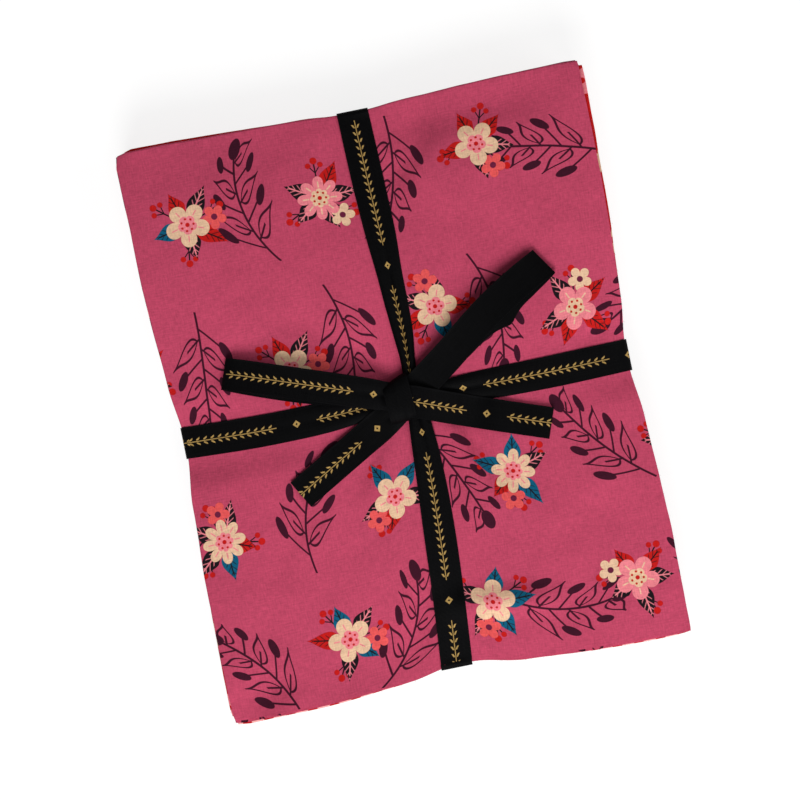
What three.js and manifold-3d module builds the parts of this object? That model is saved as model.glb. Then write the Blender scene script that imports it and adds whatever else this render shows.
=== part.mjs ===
// A fat quarter bundle: sixteen fat quarters of quilting cotton, each folded in half twice, in a pile that one woven
// ribbon ties both ways and finishes in a bow. Millimetres, +Z up. +X runs along the short side of the pile and +Y along
// the long side, with the origin under the middle of the pile, on the surface where it rests.
import * as THREE from 'three';
import { mergeVertices } from 'three/addons/utils/BufferGeometryUtils.js';
import Module from 'manifold-3d';

// One fat quarter: a cut of 18 by 22 inches, folded first along its left edge and then along its back edge.
const CUT_WIDTH = 457;
const CUT_LENGTH = 559;
const CLOTH = 0.32;        // thickness of one layer
const LAYER_GAP = 0.26;    // air between the layers of one fat quarter
const PIECE_GAP = 0.44;    // air between one fat quarter and the next
const SIDE_FOLD_STEPS = 2; // facets round the first fold
const BACK_FOLD_STEPS = 3; // facets round the second fold, which goes round the first

// The ribbon, and where its two bands lie.
const RIBBON_WIDTH = 15.5;
const RIBBON_THICK = 0.8;
const RIBBON_GAP = 0.35;   // between the ribbon and the cloth under it
const RIBBON_X = 2;        // the band that goes round the length
const RIBBON_Y = -4;       // the band that goes round the width
const TROUGH = 24;         // width of the flat trough that a band presses into the pile

// How far the ribbon presses the pile down from its top and lifts its underside, and draws its edges in.
const TOP_DROP = { edge: 6, middle: 2.5, crossing: 4, corner: 1.6, side: 0.7 };
const UNDER_LIFT = { edge: 2.6, middle: 1.3 };
const DRAWN_IN = { left: 5.6, right: 4.9, back: 3.4, front: 5.9 };
const STILL_LOOSE = 0.35;  // share of a piece's untidiness that is left under the ribbon

// The fat quarters from the bottom up: how far each one's edges lie outside the pile's nominal outline, how far its
// lower layers stick out past its upper ones at the raw edges, and how it is turned, in millimetres per metre.
const fatQuarters = [
  { colour: 0x2b2430, left: 0.0, right: 0.4, back: 0.0, front: 0.6, under: 0.9, turn: 0 },
  { colour: 0x0f5c74, left: 0.7, right: -0.6, back: -0.5, front: 0.9, under: 0.6, turn: 5 },
  { colour: 0xe9c9ae, left: -0.4, right: 0.9, back: 0.6, front: -0.2, under: 1.3, turn: -4 },
  { colour: 0xb5304a, left: 0.3, right: 0.2, back: 0.2, front: 1.2, under: -0.7, turn: 3 },
  { colour: 0xe98a92, left: -0.6, right: 1.1, back: -0.4, front: 0.1, under: 1.0, turn: 6 },
  { colour: 0x6a1f3c, left: 0.8, right: -0.3, back: 0.5, front: 1.0, under: 0.5, turn: -6 },
  { colour: 0x2f8a93, left: 0.1, right: 0.7, back: -0.2, front: -0.4, under: 1.5, turn: 2 },
  { colour: 0xf0dcc6, left: -0.5, right: -0.2, back: 0.7, front: 0.8, under: 0.8, turn: -3 },
  { colour: 0xc9586f, left: 0.6, right: 0.8, back: 0.0, front: 1.3, under: -0.5, turn: 5 },
  { colour: 0x1d1a22, left: 0.0, right: 0.1, back: -0.6, front: 0.3, under: 1.2, turn: -5 },
  { colour: 0xd9743f, left: -0.3, right: 1.0, back: 0.4, front: 0.7, under: 0.9, turn: 4 },
  { colour: 0x0b4a63, left: 0.5, right: -0.5, back: 0.1, front: -0.1, under: 1.4, turn: -2 },
  { colour: 0xf2b3b0, left: -0.7, right: 0.6, back: -0.3, front: 1.1, under: 0.7, turn: 6 },
  { colour: 0x8e2a4c, left: 0.4, right: 0.3, back: 0.5, front: 0.4, under: 1.1, turn: -4 },
  { colour: 0xc01818, left: -0.6, right: 1.2, back: 0.7, front: -0.6, under: 0.6, turn: 9 },
  { colour: 0xbd4a69, left: 0.0, right: 0.3, back: 0.0, front: -0.5, under: 1.3, turn: -2 },
];

const LAYER_PITCH = CLOTH + LAYER_GAP;
const PIECE_PITCH = 4 * CLOTH + 3 * LAYER_GAP + PIECE_GAP;
const PILE_HEIGHT = fatQuarters.length * PIECE_PITCH - PIECE_GAP;
const HALF_WIDTH = CUT_WIDTH / 4;
const HALF_LENGTH = CUT_LENGTH / 4;
const WHOLE_TURN = 1000;   // a piece's turn is given per thousand

// Every layer bends along the same lines: the pile's edges, the rims of the troughs and one line between them.
const linesX = [-HALF_WIDTH, -68, RIBBON_X - TROUGH / 2, RIBBON_X + TROUGH / 2, 68, HALF_WIDTH];
const linesY = [-HALF_LENGTH, -72, RIBBON_Y - TROUGH / 2, RIBBON_Y + TROUGH / 2, 72, HALF_LENGTH];
const LAST = linesX.length - 1;
const isEdge = (line) => line === 0 || line === LAST;
const isTrough = (line) => line === 2 || line === 3;

function topHeight(column, row) {
  const edge = isEdge(column) || isEdge(row);
  if (isTrough(column) && isTrough(row)) return PILE_HEIGHT - TOP_DROP.crossing;
  if (isTrough(column) || isTrough(row)) return PILE_HEIGHT - (edge ? TOP_DROP.edge : TOP_DROP.middle);
  if (isEdge(column) && isEdge(row)) return PILE_HEIGHT - TOP_DROP.corner;
  return PILE_HEIGHT - (edge ? TOP_DROP.side : 0);
}

function underHeight(column, row) {
  if (!isTrough(column) && !isTrough(row)) return 0;
  return isEdge(column) || isEdge(row) ? UNDER_LIFT.edge : UNDER_LIFT.middle;
}

// In each cell between the lines the cloth is two flat facets, cut along the diagonal that points at the bow.
const pointsUp = (cellX, cellY) => (cellX < 2) === (cellY < 2);

function cellOf(lines, value) {
  let cell = 0;
  while (cell < LAST - 1 && value > lines[cell + 1]) cell += 1;
  return { cell, share: (value - lines[cell]) / (lines[cell + 1] - lines[cell]) };
}

function surfaceHeight(heightAt, x, y) {
  const { cell: column, share: a } = cellOf(linesX, x);
  const { cell: row, share: b } = cellOf(linesY, y);
  const nearLeft = heightAt(column, row);
  const nearRight = heightAt(column + 1, row);
  const farLeft = heightAt(column, row + 1);
  const farRight = heightAt(column + 1, row + 1);
  if (pointsUp(column, row)) {
    if (a >= b) return nearLeft + a * (nearRight - nearLeft) + b * (farRight - nearRight);
    return nearLeft + b * (farLeft - nearLeft) + a * (farRight - farLeft);
  }
  if (a + b <= 1) return nearLeft + a * (nearRight - nearLeft) + b * (farLeft - nearLeft);
  return farRight + (1 - a) * (farLeft - farRight) + (1 - b) * (nearRight - farRight);
}

const topAt = (x, y) => surfaceHeight(topHeight, x, y);
const underAt = (x, y) => surfaceHeight(underHeight, x, y);
const heightInPile = (x, y, level) => THREE.MathUtils.lerp(underAt(x, y), topAt(x, y), level / PILE_HEIGHT);

// The lines that a sheet crosses from one raw edge, round its fold and back to the other, with the turn made so far.
function linesThroughFold(lines, steps) {
  const there = lines.map((line) => ({ line, bend: 0 }));
  const round = Array.from({ length: steps - 1 }, (_, step) => ({ line: lines.at(-1), bend: (Math.PI * (step + 1)) / steps }));
  const back = [...lines].reverse().map((line) => ({ line, bend: Math.PI }));
  return [...there, ...round, ...back];
}

// Where a line of the sheet lies in plan: inner lines are common to the whole pile, edges are the piece's own.
function planPoint(piece, column, row) {
  const loose = isTrough(column.line) || isTrough(row.line) ? STILL_LOOSE : 1;
  const drawnX = isTrough(row.line) ? 1 : 0;
  const drawnY = isTrough(column.line) ? 1 : 0;
  const sticksOutX = column.bend === 0 ? piece.under : 0;
  const sticksOutY = row.bend === 0 ? piece.under : 0;
  let x = linesX[column.line];
  let y = linesY[row.line];
  const turnedX = (piece.turn * y) / WHOLE_TURN;
  const turnedY = (-piece.turn * x) / WHOLE_TURN;
  if (column.line === 0) x += drawnX * DRAWN_IN.left + loose * (turnedX - piece.left);
  if (column.line === LAST) x += -drawnX * DRAWN_IN.right + loose * (turnedX + piece.right + sticksOutX);
  if (row.line === 0) y += drawnY * DRAWN_IN.front + loose * (turnedY - piece.front - sticksOutY);
  if (row.line === LAST) y += -drawnY * DRAWN_IN.back + loose * (turnedY + piece.back);
  return { x, y };
}

// One fat quarter as one closed sheet. The first fold turns the left edge, the second turns both layers at the back.
function fatQuarterGeometry(piece, level) {
  const columns = linesThroughFold([5, 4, 3, 2, 1, 0], SIDE_FOLD_STEPS);
  const rows = linesThroughFold([0, 1, 2, 3, 4, 5], BACK_FOLD_STEPS);
  const positions = [];
  const indices = [];
  const vertex = (column, row, inner) => (inner ? rows.length * columns.length : 0) + row * columns.length + column;

  for (const faceSide of [-1, 1]) {
    for (const row of rows) {
      for (const column of columns) {
        const sideRadius = (LAYER_PITCH - faceSide * CLOTH) / 2;
        const inStack = LAYER_PITCH / 2 - sideRadius * Math.cos(column.bend);
        const backRadius = 1.5 * LAYER_PITCH - inStack;
        const plan = planPoint(piece, column, row);
        const x = plan.x - sideRadius * Math.sin(column.bend);
        const y = plan.y + backRadius * Math.sin(row.bend);
        const layerLevel = level + CLOTH / 2 + 1.5 * LAYER_PITCH - backRadius * Math.cos(row.bend);
        positions.push(x, y, heightInPile(x, y, layerLevel));
      }
    }
  }

  const addFacet = (a, b, c, inner) => indices.push(...(inner ? [a, c, b] : [a, b, c]));
  for (let row = 0; row < rows.length - 1; row += 1) {
    for (let column = 0; column < columns.length - 1; column += 1) {
      const cellX = Math.min(columns[column].line, columns[column + 1].line);
      const cellY = Math.min(rows[row].line, rows[row + 1].line);
      const sameWay = (columns[column + 1].line > columns[column].line) === (rows[row + 1].line > rows[row].line);
      for (const inner of [false, true]) {
        const a = vertex(column, row, inner);
        const b = vertex(column + 1, row, inner);
        const c = vertex(column + 1, row + 1, inner);
        const d = vertex(column, row + 1, inner);
        if (sameWay === pointsUp(cellX, cellY)) {
          addFacet(a, b, c, inner);
          addFacet(a, c, d, inner);
        } else {
          addFacet(a, b, d, inner);
          addFacet(b, c, d, inner);
        }
      }
    }
  }

  const addRim = (fromColumn, fromRow, toColumn, toRow) => {
    const from = vertex(fromColumn, fromRow, false);
    const to = vertex(toColumn, toRow, false);
    const fromInner = vertex(fromColumn, fromRow, true);
    const toInner = vertex(toColumn, toRow, true);
    indices.push(to, from, fromInner, to, fromInner, toInner);
  };
  const lastColumn = columns.length - 1;
  const lastRow = rows.length - 1;
  for (let column = 0; column < lastColumn; column += 1) {
    addRim(column, 0, column + 1, 0);
    addRim(column + 1, lastRow, column, lastRow);
  }
  for (let row = 0; row < lastRow; row += 1) {
    addRim(lastColumn, row, lastColumn, row + 1);
    addRim(0, row + 1, 0, row);
  }

  const geometry = new THREE.BufferGeometry();
  geometry.setAttribute('position', new THREE.Float32BufferAttribute(positions, 3));
  geometry.setIndex(indices);
  return geometry;
}

// A flat strip of ribbon through a row of stations, each with its middle, its width and the way across it.
function stripGeometry(stations, closed) {
  const positions = [];
  const indices = [];
  const count = stations.length;
  stations.forEach((station, index) => {
    const before = stations[closed ? (index + count - 1) % count : Math.max(index - 1, 0)];
    const after = stations[closed ? (index + 1) % count : Math.min(index + 1, count - 1)];
    const along = after.middle.clone().sub(before.middle).normalize();
    const outward = along.cross(station.across).normalize().multiplyScalar(RIBBON_THICK / 2);
    const sideways = station.across.clone().multiplyScalar(station.width / 2);
    for (const [wide, high] of [[-1, -1], [1, -1], [1, 1], [-1, 1]]) {
      const corner = station.middle.clone().addScaledVector(sideways, wide).addScaledVector(outward, high);
      positions.push(corner.x, corner.y, corner.z);
    }
  });
  for (let index = 0; index < (closed ? count : count - 1); index += 1) {
    const here = 4 * index;
    const next = 4 * ((index + 1) % count);
    for (let corner = 0; corner < 4; corner += 1) {
      const other = (corner + 1) % 4;
      indices.push(here + corner, here + other, next + other, here + corner, next + other, next + corner);
    }
  }
  if (!closed) {
    const end = 4 * (count - 1);
    indices.push(0, 2, 1, 0, 3, 2, end, end + 1, end + 2, end, end + 2, end + 3);
  }
  const geometry = new THREE.BufferGeometry();
  geometry.setAttribute('position', new THREE.Float32BufferAttribute(positions, 3));
  geometry.setIndex(indices);
  return geometry;
}

// A band round the pile. Its rows run over the top, with the band's own drift to the side and its width at each place,
// and how high it is lifted there by the knot. It comes back underneath at full width.
const CHAMFER = 0.4;       // where the band turns over an edge of the pile
const overTop = RIBBON_GAP + RIBBON_THICK / 2;
const widthBand = {
  across: new THREE.Vector3(0, 1, 0),
  point: (along, side, z) => new THREE.Vector3(along, side, z),
  from: -HALF_WIDTH + DRAWN_IN.left - 1.2,
  to: HALF_WIDTH - DRAWN_IN.right + 1.5,
  fromSide: -3.3,
  toSide: -4,
  rows: [
    { along: -68, side: -4.9, width: RIBBON_WIDTH, lift: 0 },
    { along: -36, side: -4.6, width: 14.5, lift: 0 },
    { along: -10, side: -3.6, width: 11, lift: 1.4 },
    { along: 14, side: -3.4, width: 11, lift: 1.4 },
    { along: 36, side: -4.2, width: 14, lift: 0 },
    { along: 68, side: -4.6, width: RIBBON_WIDTH, lift: 0 },
  ],
};
const lengthBand = {
  across: new THREE.Vector3(-1, 0, 0),
  point: (along, side, z) => new THREE.Vector3(side, along, z),
  from: -HALF_LENGTH + DRAWN_IN.front - 1.9,
  to: HALF_LENGTH - DRAWN_IN.back + 1.9,
  fromSide: -1.6,
  toSide: 2.2,
  rows: [
    { along: -96, side: 1.6, width: RIBBON_WIDTH, lift: 0 },
    { along: -72, side: 3, width: RIBBON_WIDTH, lift: 0 },
    { along: -44, side: 4, width: 14, lift: 0 },
    { along: -16, side: 3.8, width: 9, lift: 1.2 },
    { along: 8, side: 4.4, width: 8, lift: 1.6 },
    { along: 24, side: 5, width: 10.5, lift: 0.4 },
    { along: 44, side: 4.5, width: 14.5, lift: 0 },
    { along: 72, side: 4, width: RIBBON_WIDTH, lift: 0 },
  ],
};

function bandGeometry(band) {
  const { from, to, fromSide: first, toSide: last } = band;
  const turnIn = from + CHAMFER;
  const turnOut = to - CHAMFER;
  const plan = (along, side) => band.point(along, side, 0);
  const topOf = (along, side) => topAt(plan(along, side).x, plan(along, side).y) + overTop;
  const underOf = (along, side) => underAt(plan(along, side).x, plan(along, side).y) - overTop;
  const stations = [];
  const addStation = (along, side, z, width = RIBBON_WIDTH) => {
    stations.push({ middle: band.point(along, side, z), across: band.across, width });
  };
  addStation(turnIn, first, topOf(turnIn, first));
  for (const { along, side, width, lift } of band.rows) addStation(along, side, topOf(along, side) + lift, width);
  addStation(turnOut, last, topOf(turnOut, last));
  addStation(to, last, topOf(turnOut, last) - CHAMFER);
  addStation(to, last, underOf(turnOut, last) + CHAMFER);
  addStation(turnOut, last, underOf(turnOut, last));
  for (const { along, side } of [...band.rows].reverse()) addStation(along, side, underOf(along, side));
  addStation(turnIn, first, underOf(turnIn, first));
  addStation(from, first, underOf(turnIn, first) + CHAMFER);
  addStation(from, first, topOf(turnIn, first) - CHAMFER);
  return stripGeometry(stations, true);
}

// A loop of the bow runs out from the knot, turns over at its end and comes back underneath. Its rows give the distance
// from the knot, the height over the pile, the drift to the left of its way out, and the width.
const KNOT = { x: 0.2, y: -3.6, halfWidth: 7.2, halfLength: 12.2, height: 8.2, rounding: 1.8, heading: -74 };
const bowLoops = [
  {
    heading: 160.5,
    rows: [
      { out: 4, over: 5.5, drift: 0, width: 10 },
      { out: 16, over: 8.6, drift: 0, width: 13.4 },
      { out: 38, over: 12.4, drift: 0, width: 15.2 },
      { out: 62, over: 12.2, drift: 0, width: RIBBON_WIDTH },
      { out: 80, over: 9.4, drift: 0, width: RIBBON_WIDTH },
      { out: 88, over: 6.6, drift: 0.2, width: RIBBON_WIDTH },
      { out: 89.6, over: 4.9, drift: 0.4, width: RIBBON_WIDTH },
      { out: 87.6, over: 3.5, drift: 0.6, width: RIBBON_WIDTH },
      { out: 70, over: 3.2, drift: 1.4, width: RIBBON_WIDTH },
      { out: 40, over: 3.4, drift: 1.2, width: 15 },
      { out: 16, over: 3.6, drift: 0, width: 12 },
      { out: 4, over: 3.6, drift: 0, width: 9 },
    ],
  },
  {
    heading: 33.5,
    rows: [
      { out: 4, over: 5.8, drift: 1, width: 9 },
      { out: 16, over: 9, drift: 1.6, width: 12 },
      { out: 38, over: 13.2, drift: 1.4, width: 14.6 },
      { out: 62, over: 13, drift: 0.8, width: RIBBON_WIDTH },
      { out: 82, over: 9.6, drift: 0.2, width: RIBBON_WIDTH },
      { out: 91, over: 6.6, drift: -0.4, width: RIBBON_WIDTH },
      { out: 92.8, over: 4.7, drift: -1, width: RIBBON_WIDTH },
      { out: 90, over: 3.2, drift: -2.2, width: RIBBON_WIDTH },
      { out: 70, over: 2.2, drift: -5, width: RIBBON_WIDTH },
      { out: 42, over: 2.4, drift: -4.6, width: 14.5 },
      { out: 18, over: 3.6, drift: -2.4, width: 11 },
      { out: 4, over: 3.8, drift: 0, width: 8 },
    ],
  },
];

function loopGeometry(loop) {
  const heading = THREE.MathUtils.degToRad(loop.heading);
  const outward = new THREE.Vector3(Math.cos(heading), Math.sin(heading), 0);
  const leftward = new THREE.Vector3(-Math.sin(heading), Math.cos(heading), 0);
  const knotTop = topAt(KNOT.x, KNOT.y);
  const stations = loop.rows.map(({ out, over, drift, width }) => {
    const middle = new THREE.Vector3(KNOT.x, KNOT.y, knotTop + over);
    middle.addScaledVector(outward, out).addScaledVector(leftward, drift);
    middle.z += topAt(middle.x, middle.y) - knotTop;
    return { middle, across: leftward, width };
  });
  return stripGeometry(stations, false);
}

// A tail lies on the pile from the knot to its square cut end. Its rows give the middle of the ribbon, how high it is
// lifted over the cloth, and the width.
const tails = [
  [
    { x: 4, y: -6.5, lift: 3.4, width: 9 },
    { x: 14, y: -10, lift: 2.4, width: 13 },
    { x: 27, y: -14.6, lift: 1.3, width: 15 },
    { x: 46, y: -21.6, lift: 1.1, width: RIBBON_WIDTH },
    { x: 67.1, y: -29.2, lift: 1, width: RIBBON_WIDTH },
  ],
  [
    { x: -3, y: -6.5, lift: 3, width: 9 },
    { x: -13, y: -12.4, lift: 1.8, width: 13 },
    { x: -26, y: -19.8, lift: 1.1, width: 15 },
    { x: -42, y: -29, lift: 1.2, width: RIBBON_WIDTH },
    { x: -59.3, y: -39, lift: 0.9, width: RIBBON_WIDTH },
  ],
];

function tailGeometry(rows) {
  const first = rows[0];
  const last = rows.at(-1);
  const across = new THREE.Vector3(first.y - last.y, last.x - first.x, 0).normalize();
  const stations = rows.map(({ x, y, lift, width }) => {
    const side = across.clone().multiplyScalar(width / 2);
    const highest = Math.max(topAt(x, y), topAt(x + side.x, y + side.y), topAt(x - side.x, y - side.y));
    return { middle: new THREE.Vector3(x, y, highest + overTop + lift - 0.9), across, width };
  });
  return stripGeometry(stations, false);
}

// The knot's last turn of ribbon wraps over the others from back to front: an arch with rounded edges.
function knotGeometry() {
  const { halfWidth, halfLength, height, rounding } = KNOT;
  const reach = halfLength - rounding;
  const rise = height - 2 * rounding;
  const arch = new THREE.Shape();
  arch.moveTo(-reach, 0);
  arch.bezierCurveTo(-0.7 * reach, 1.2 * rise, 0.5 * reach, 1.5 * rise, reach, 0);
  const depth = 2 * (halfWidth - rounding);
  const geometry = new THREE.ExtrudeGeometry(arch, {
    depth, curveSegments: 8, bevelSize: rounding, bevelThickness: rounding, bevelSegments: 2,
  });
  geometry.translate(0, rounding, -depth / 2);
  geometry.rotateX(Math.PI / 2);
  geometry.rotateZ(THREE.MathUtils.degToRad(KNOT.heading));
  geometry.translate(KNOT.x, KNOT.y, topAt(KNOT.x, KNOT.y) + RIBBON_GAP);
  return geometry;
}

// The bands, knot, loops and tails are one length of ribbon, so they are joined into one solid.
const manifold = await Module();
manifold.setup();

function solidOf(geometry) {
  const bare = geometry.clone();
  bare.deleteAttribute('normal');
  bare.deleteAttribute('uv');
  const merged = mergeVertices(bare, 1e-4);
  const vertProperties = new Float32Array(merged.attributes.position.array);
  const triVerts = new Uint32Array(merged.index.array);
  return new manifold.Manifold(new manifold.Mesh({ numProp: 3, vertProperties, triVerts }));
}

function geometryOf(solid) {
  const mesh = solid.getMesh();
  const geometry = new THREE.BufferGeometry();
  geometry.setAttribute('position', new THREE.BufferAttribute(new Float32Array(mesh.vertProperties), 3));
  geometry.setIndex(new THREE.BufferAttribute(new Uint32Array(mesh.triVerts), 1));
  return geometry;
}

function ribbonGeometry() {
  const stretches = [
    bandGeometry(widthBand),
    bandGeometry(lengthBand),
    knotGeometry(),
    ...bowLoops.map(loopGeometry),
    ...tails.map(tailGeometry),
  ];
  return geometryOf(stretches.map(solidOf).reduce((joined, stretch) => joined.add(stretch)));
}

const bundle = new THREE.Group();
bundle.name = 'fat_quarter_bundle';
fatQuarters.forEach((piece, index) => {
  const material = new THREE.MeshStandardMaterial({ color: piece.colour, roughness: 0.9, metalness: 0 });
  const mesh = new THREE.Mesh(fatQuarterGeometry(piece, index * PIECE_PITCH), material);
  mesh.name = `fat_quarter_${String(index + 1).padStart(2, '0')}`;
  bundle.add(mesh);
});
const ribbonMaterial = new THREE.MeshStandardMaterial({ color: 0x0d0d0f, roughness: 0.75, metalness: 0 });
const ribbon = new THREE.Mesh(ribbonGeometry(), ribbonMaterial);
ribbon.name = 'ribbon';
bundle.add(ribbon);

// The origin goes under the middle of the whole bundle.
const extent = new THREE.Box3().setFromObject(bundle);
const middle = extent.getCenter(new THREE.Vector3());
bundle.position.set(-middle.x, -middle.y, -extent.min.z);

export default bundle;
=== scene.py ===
# A fat quarter bundle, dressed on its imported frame. Metres, +Z up: +X runs along the short side of the pile,
# from its folds to its raw edges, and +Y along the long side, towards the second folds.
import math

import bpy
import numpy as np
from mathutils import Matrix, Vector
from mathutils.bvhtree import BVHTree


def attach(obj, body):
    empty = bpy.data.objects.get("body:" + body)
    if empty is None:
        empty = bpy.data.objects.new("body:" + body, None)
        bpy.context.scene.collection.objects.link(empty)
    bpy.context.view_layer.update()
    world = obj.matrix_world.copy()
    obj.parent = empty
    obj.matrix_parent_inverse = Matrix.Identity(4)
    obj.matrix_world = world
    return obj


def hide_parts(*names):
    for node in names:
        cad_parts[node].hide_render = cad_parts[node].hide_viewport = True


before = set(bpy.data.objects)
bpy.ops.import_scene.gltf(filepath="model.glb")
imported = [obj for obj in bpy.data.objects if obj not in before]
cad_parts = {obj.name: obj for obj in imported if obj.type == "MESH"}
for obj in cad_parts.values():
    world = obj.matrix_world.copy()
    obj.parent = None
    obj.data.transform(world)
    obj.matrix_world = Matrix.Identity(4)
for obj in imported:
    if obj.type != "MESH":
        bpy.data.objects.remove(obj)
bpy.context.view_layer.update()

# ---------------------------------------------------------------------------------------------------------
# The fat quarters: cuts of printed quilting cotton, 18 by 22 inches, folded in half along the left edge and
# again along the back edge, so their raw edges lie at the right and the front. Sixteen lie in a pile, whose
# middle is a little off the frame's. The ribbon presses the pile down and draws its edges in on two lines.
MM = 0.001
PILE_X, PILE_Y = -0.485 * MM, -0.067 * MM
CUT_WIDTH, CUT_LENGTH = 457 * MM, 559 * MM
HALF_WIDTH, HALF_LENGTH = CUT_WIDTH / 4, CUT_LENGTH / 4
CLOTH, LAYER_GAP, PIECE_GAP = 0.32 * MM, 0.26 * MM, 0.44 * MM
LAYER_PITCH = CLOTH + LAYER_GAP
PIECE_PITCH = 4 * CLOTH + 3 * LAYER_GAP + PIECE_GAP
RIBBON_X, RIBBON_Y = 2 * MM, -4 * MM
FOLD_STEPS = 3  # faces across each half of a fold
FOLD_MIDDLE = 0.1  # share of a fold's half where the upper layer's outline turns into the lower one's


def paint(red, green, blue):
    """A colour given as it looks on a screen, from 0 to 255, in the linear values that shaders use."""
    shares = (value / 255 for value in (red, green, blue))
    return tuple(s / 12.92 if s < 0.04045 else ((s + 0.055) / 1.055) ** 2.4 for s in shares) + (1.0,)


INK, AUBERGINE, WINE = paint(22, 14, 20), paint(58, 12, 32), paint(104, 28, 58)
ROSE, RED, CRIMSON = paint(187, 68, 97), paint(190, 22, 20), paint(176, 46, 70)
PINK, BLUSH, CREAM = paint(233, 128, 138), paint(240, 166, 160), paint(228, 188, 154)
TEAL, DEEP_TEAL, ORANGE = paint(4, 88, 118), paint(6, 66, 92), paint(214, 112, 60)

# From the bottom up: how far each piece's edges lie outside the pile's outline and its lower layers stick out
# past its upper ones, in millimetres, its turn in millimetres per metre, its slot, its ground and the two
# colours of its figures, its pattern, and the pitch of that in millimetres.
FAT_QUARTERS = [
    # left, right, back, front, under, turn, slot, ground, figure, other figure, pattern, pitch
    (0.0, 0.4, 0.0, 0.6, 0.9, 0, "cloth_ink", INK, CREAM, PINK, "Dots", 11),
    (0.7, -0.6, -0.5, 0.9, 0.6, 5, "cloth_teal", TEAL, BLUSH, CREAM, "Leaves", 21),
    (-0.4, 0.9, 0.6, -0.2, 1.3, -4, "cloth_cream", CREAM, RED, PINK, "Blossoms", 27),
    (0.3, 0.2, 0.2, 1.2, -0.7, 3, "cloth_crimson", CRIMSON, BLUSH, BLUSH, "Stripes", 9),
    (-0.6, 1.1, -0.4, 0.1, 1.0, 6, "cloth_pink", PINK, RED, CREAM, "Dots", 14),
    (0.8, -0.3, 0.5, 1.0, 0.5, -6, "cloth_wine", WINE, PINK, PINK, "Checks", 12),
    (0.1, 0.7, -0.2, -0.4, 1.5, 2, "cloth_teal", paint(47, 138, 147), CREAM, CREAM, "Stripes", 7),
    (-0.5, -0.2, 0.7, 0.8, 0.8, -3, "cloth_cream", paint(240, 220, 198), TEAL, RED, "Dots", 9),
    (0.6, 0.8, 0.0, 1.3, -0.5, 5, "cloth_rose", paint(201, 88, 111), BLUSH, BLUSH, "Checks", 16),
    (0.0, 0.1, -0.6, 0.3, 1.2, -5, "cloth_ink", INK, PINK, TEAL, "Leaves", 24),
    (-0.3, 1.0, 0.4, 0.7, 0.9, 4, "cloth_orange", ORANGE, CREAM, WINE, "Dots", 10),
    (0.5, -0.5, 0.1, -0.1, 1.4, -2, "cloth_teal", DEEP_TEAL, CREAM, BLUSH, "Blossoms", 23),
    (-0.7, 0.6, -0.3, 1.8, 0.7, -3, "cloth_pink", paint(242, 179, 176), RED, RED, "Stripes", 11),
    (0.4, 0.3, 0.5, -0.3, 1.1, -4, "cloth_wine", paint(142, 42, 76), CREAM, PINK, "Dots", 12),
    (-1.4, 0.7, -0.3, -1.2, 0.6, 15, "cloth_red", RED, CREAM, PINK, "Blossoms", 19),
    (0.0, 0.3, 0.1, -0.2, 1.3, -2, "cloth_rose", ROSE, PINK, CREAM, "Garden", 74),
]
PILE_HEIGHT = len(FAT_QUARTERS) * PIECE_PITCH - PIECE_GAP


class Field:
    """A socket of a node tree. Arithmetic on it adds the Math nodes that work the result out."""

    def __init__(self, tree, socket):
        self.tree, self.socket = tree, socket

    def out(self, name):
        return Field(self.tree, self.socket.node.outputs[name])

    def math(self, operation, *others):
        return add_node(self.tree, "ShaderNodeMath", (self, *others), operation=operation)

    def __add__(self, other):
        return self.math("ADD", other)

    def __sub__(self, other):
        return self.math("SUBTRACT", other)

    def __rsub__(self, other):
        return add_node(self.tree, "ShaderNodeMath", (other, self), operation="SUBTRACT")

    def __mul__(self, other):
        return self.math("MULTIPLY", other)

    def __truediv__(self, other):
        return self.math("DIVIDE", other)

    def __abs__(self):
        return self.math("ABSOLUTE")

    def __or__(self, other):
        return self.math("MAXIMUM", other)

    def __and__(self, other):
        return self.math("MINIMUM", other)

    __radd__, __rmul__ = __add__, __mul__


def add_node(tree, kind, inputs=(), **settings):
    """Adds a node, sets or links its inputs, given in order or by name, and returns its first output."""
    node = tree.nodes.new(kind)
    for name, value in settings.items():
        setattr(node, name, value)
    for key, value in inputs.items() if isinstance(inputs, dict) else enumerate(inputs):
        if isinstance(value, Field):
            tree.links.new(value.socket, node.inputs[key])
        elif value is not None:
            node.inputs[key].default_value = value
    return Field(tree, next(socket for socket in node.outputs if socket.enabled))


def new_tree(name, kind, inputs, outputs):
    """A node tree with named sockets: the tree, its inputs as Fields by name, and its output node."""
    tree = bpy.data.node_groups.new(name, kind)
    for socket_name, socket_kind, *default in inputs:
        socket = tree.interface.new_socket(
            socket_name, in_out="INPUT", socket_type="NodeSocket" + socket_kind
        )
        if default:
            socket.default_value = default[0]
    for socket_name, socket_kind in outputs:
        tree.interface.new_socket(socket_name, in_out="OUTPUT", socket_type="NodeSocket" + socket_kind)
    source = tree.nodes.new("NodeGroupInput")
    fields = {socket_name: Field(tree, source.outputs[socket_name]) for socket_name, *_ in inputs}
    return tree, fields, tree.nodes.new("NodeGroupOutput")


def give(result, fields):
    """Links Fields to the sockets of an output or shader node, by name."""
    for name, field in fields.items():
        field.tree.links.new(field.socket, result.inputs[name])


def rise(value, low, high, bottom=0.0, top=1.0):
    """Goes smoothly from bottom to top while value goes from low to high."""
    sockets = {"Value": value, "From Min": low, "From Max": high, "To Min": bottom, "To Max": top}
    return add_node(value.tree, "ShaderNodeMapRange", sockets, interpolation_type="SMOOTHSTEP")


def blend(share, start, end):
    return share * (end - start) + start


def vector(tree, *values):
    return add_node(tree, "ShaderNodeCombineXYZ", values)


def parts(place):
    """The X and the Y of a vector."""
    split = add_node(place.tree, "ShaderNodeSeparateXYZ", (place,))
    return split, split.out("Y")


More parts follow.
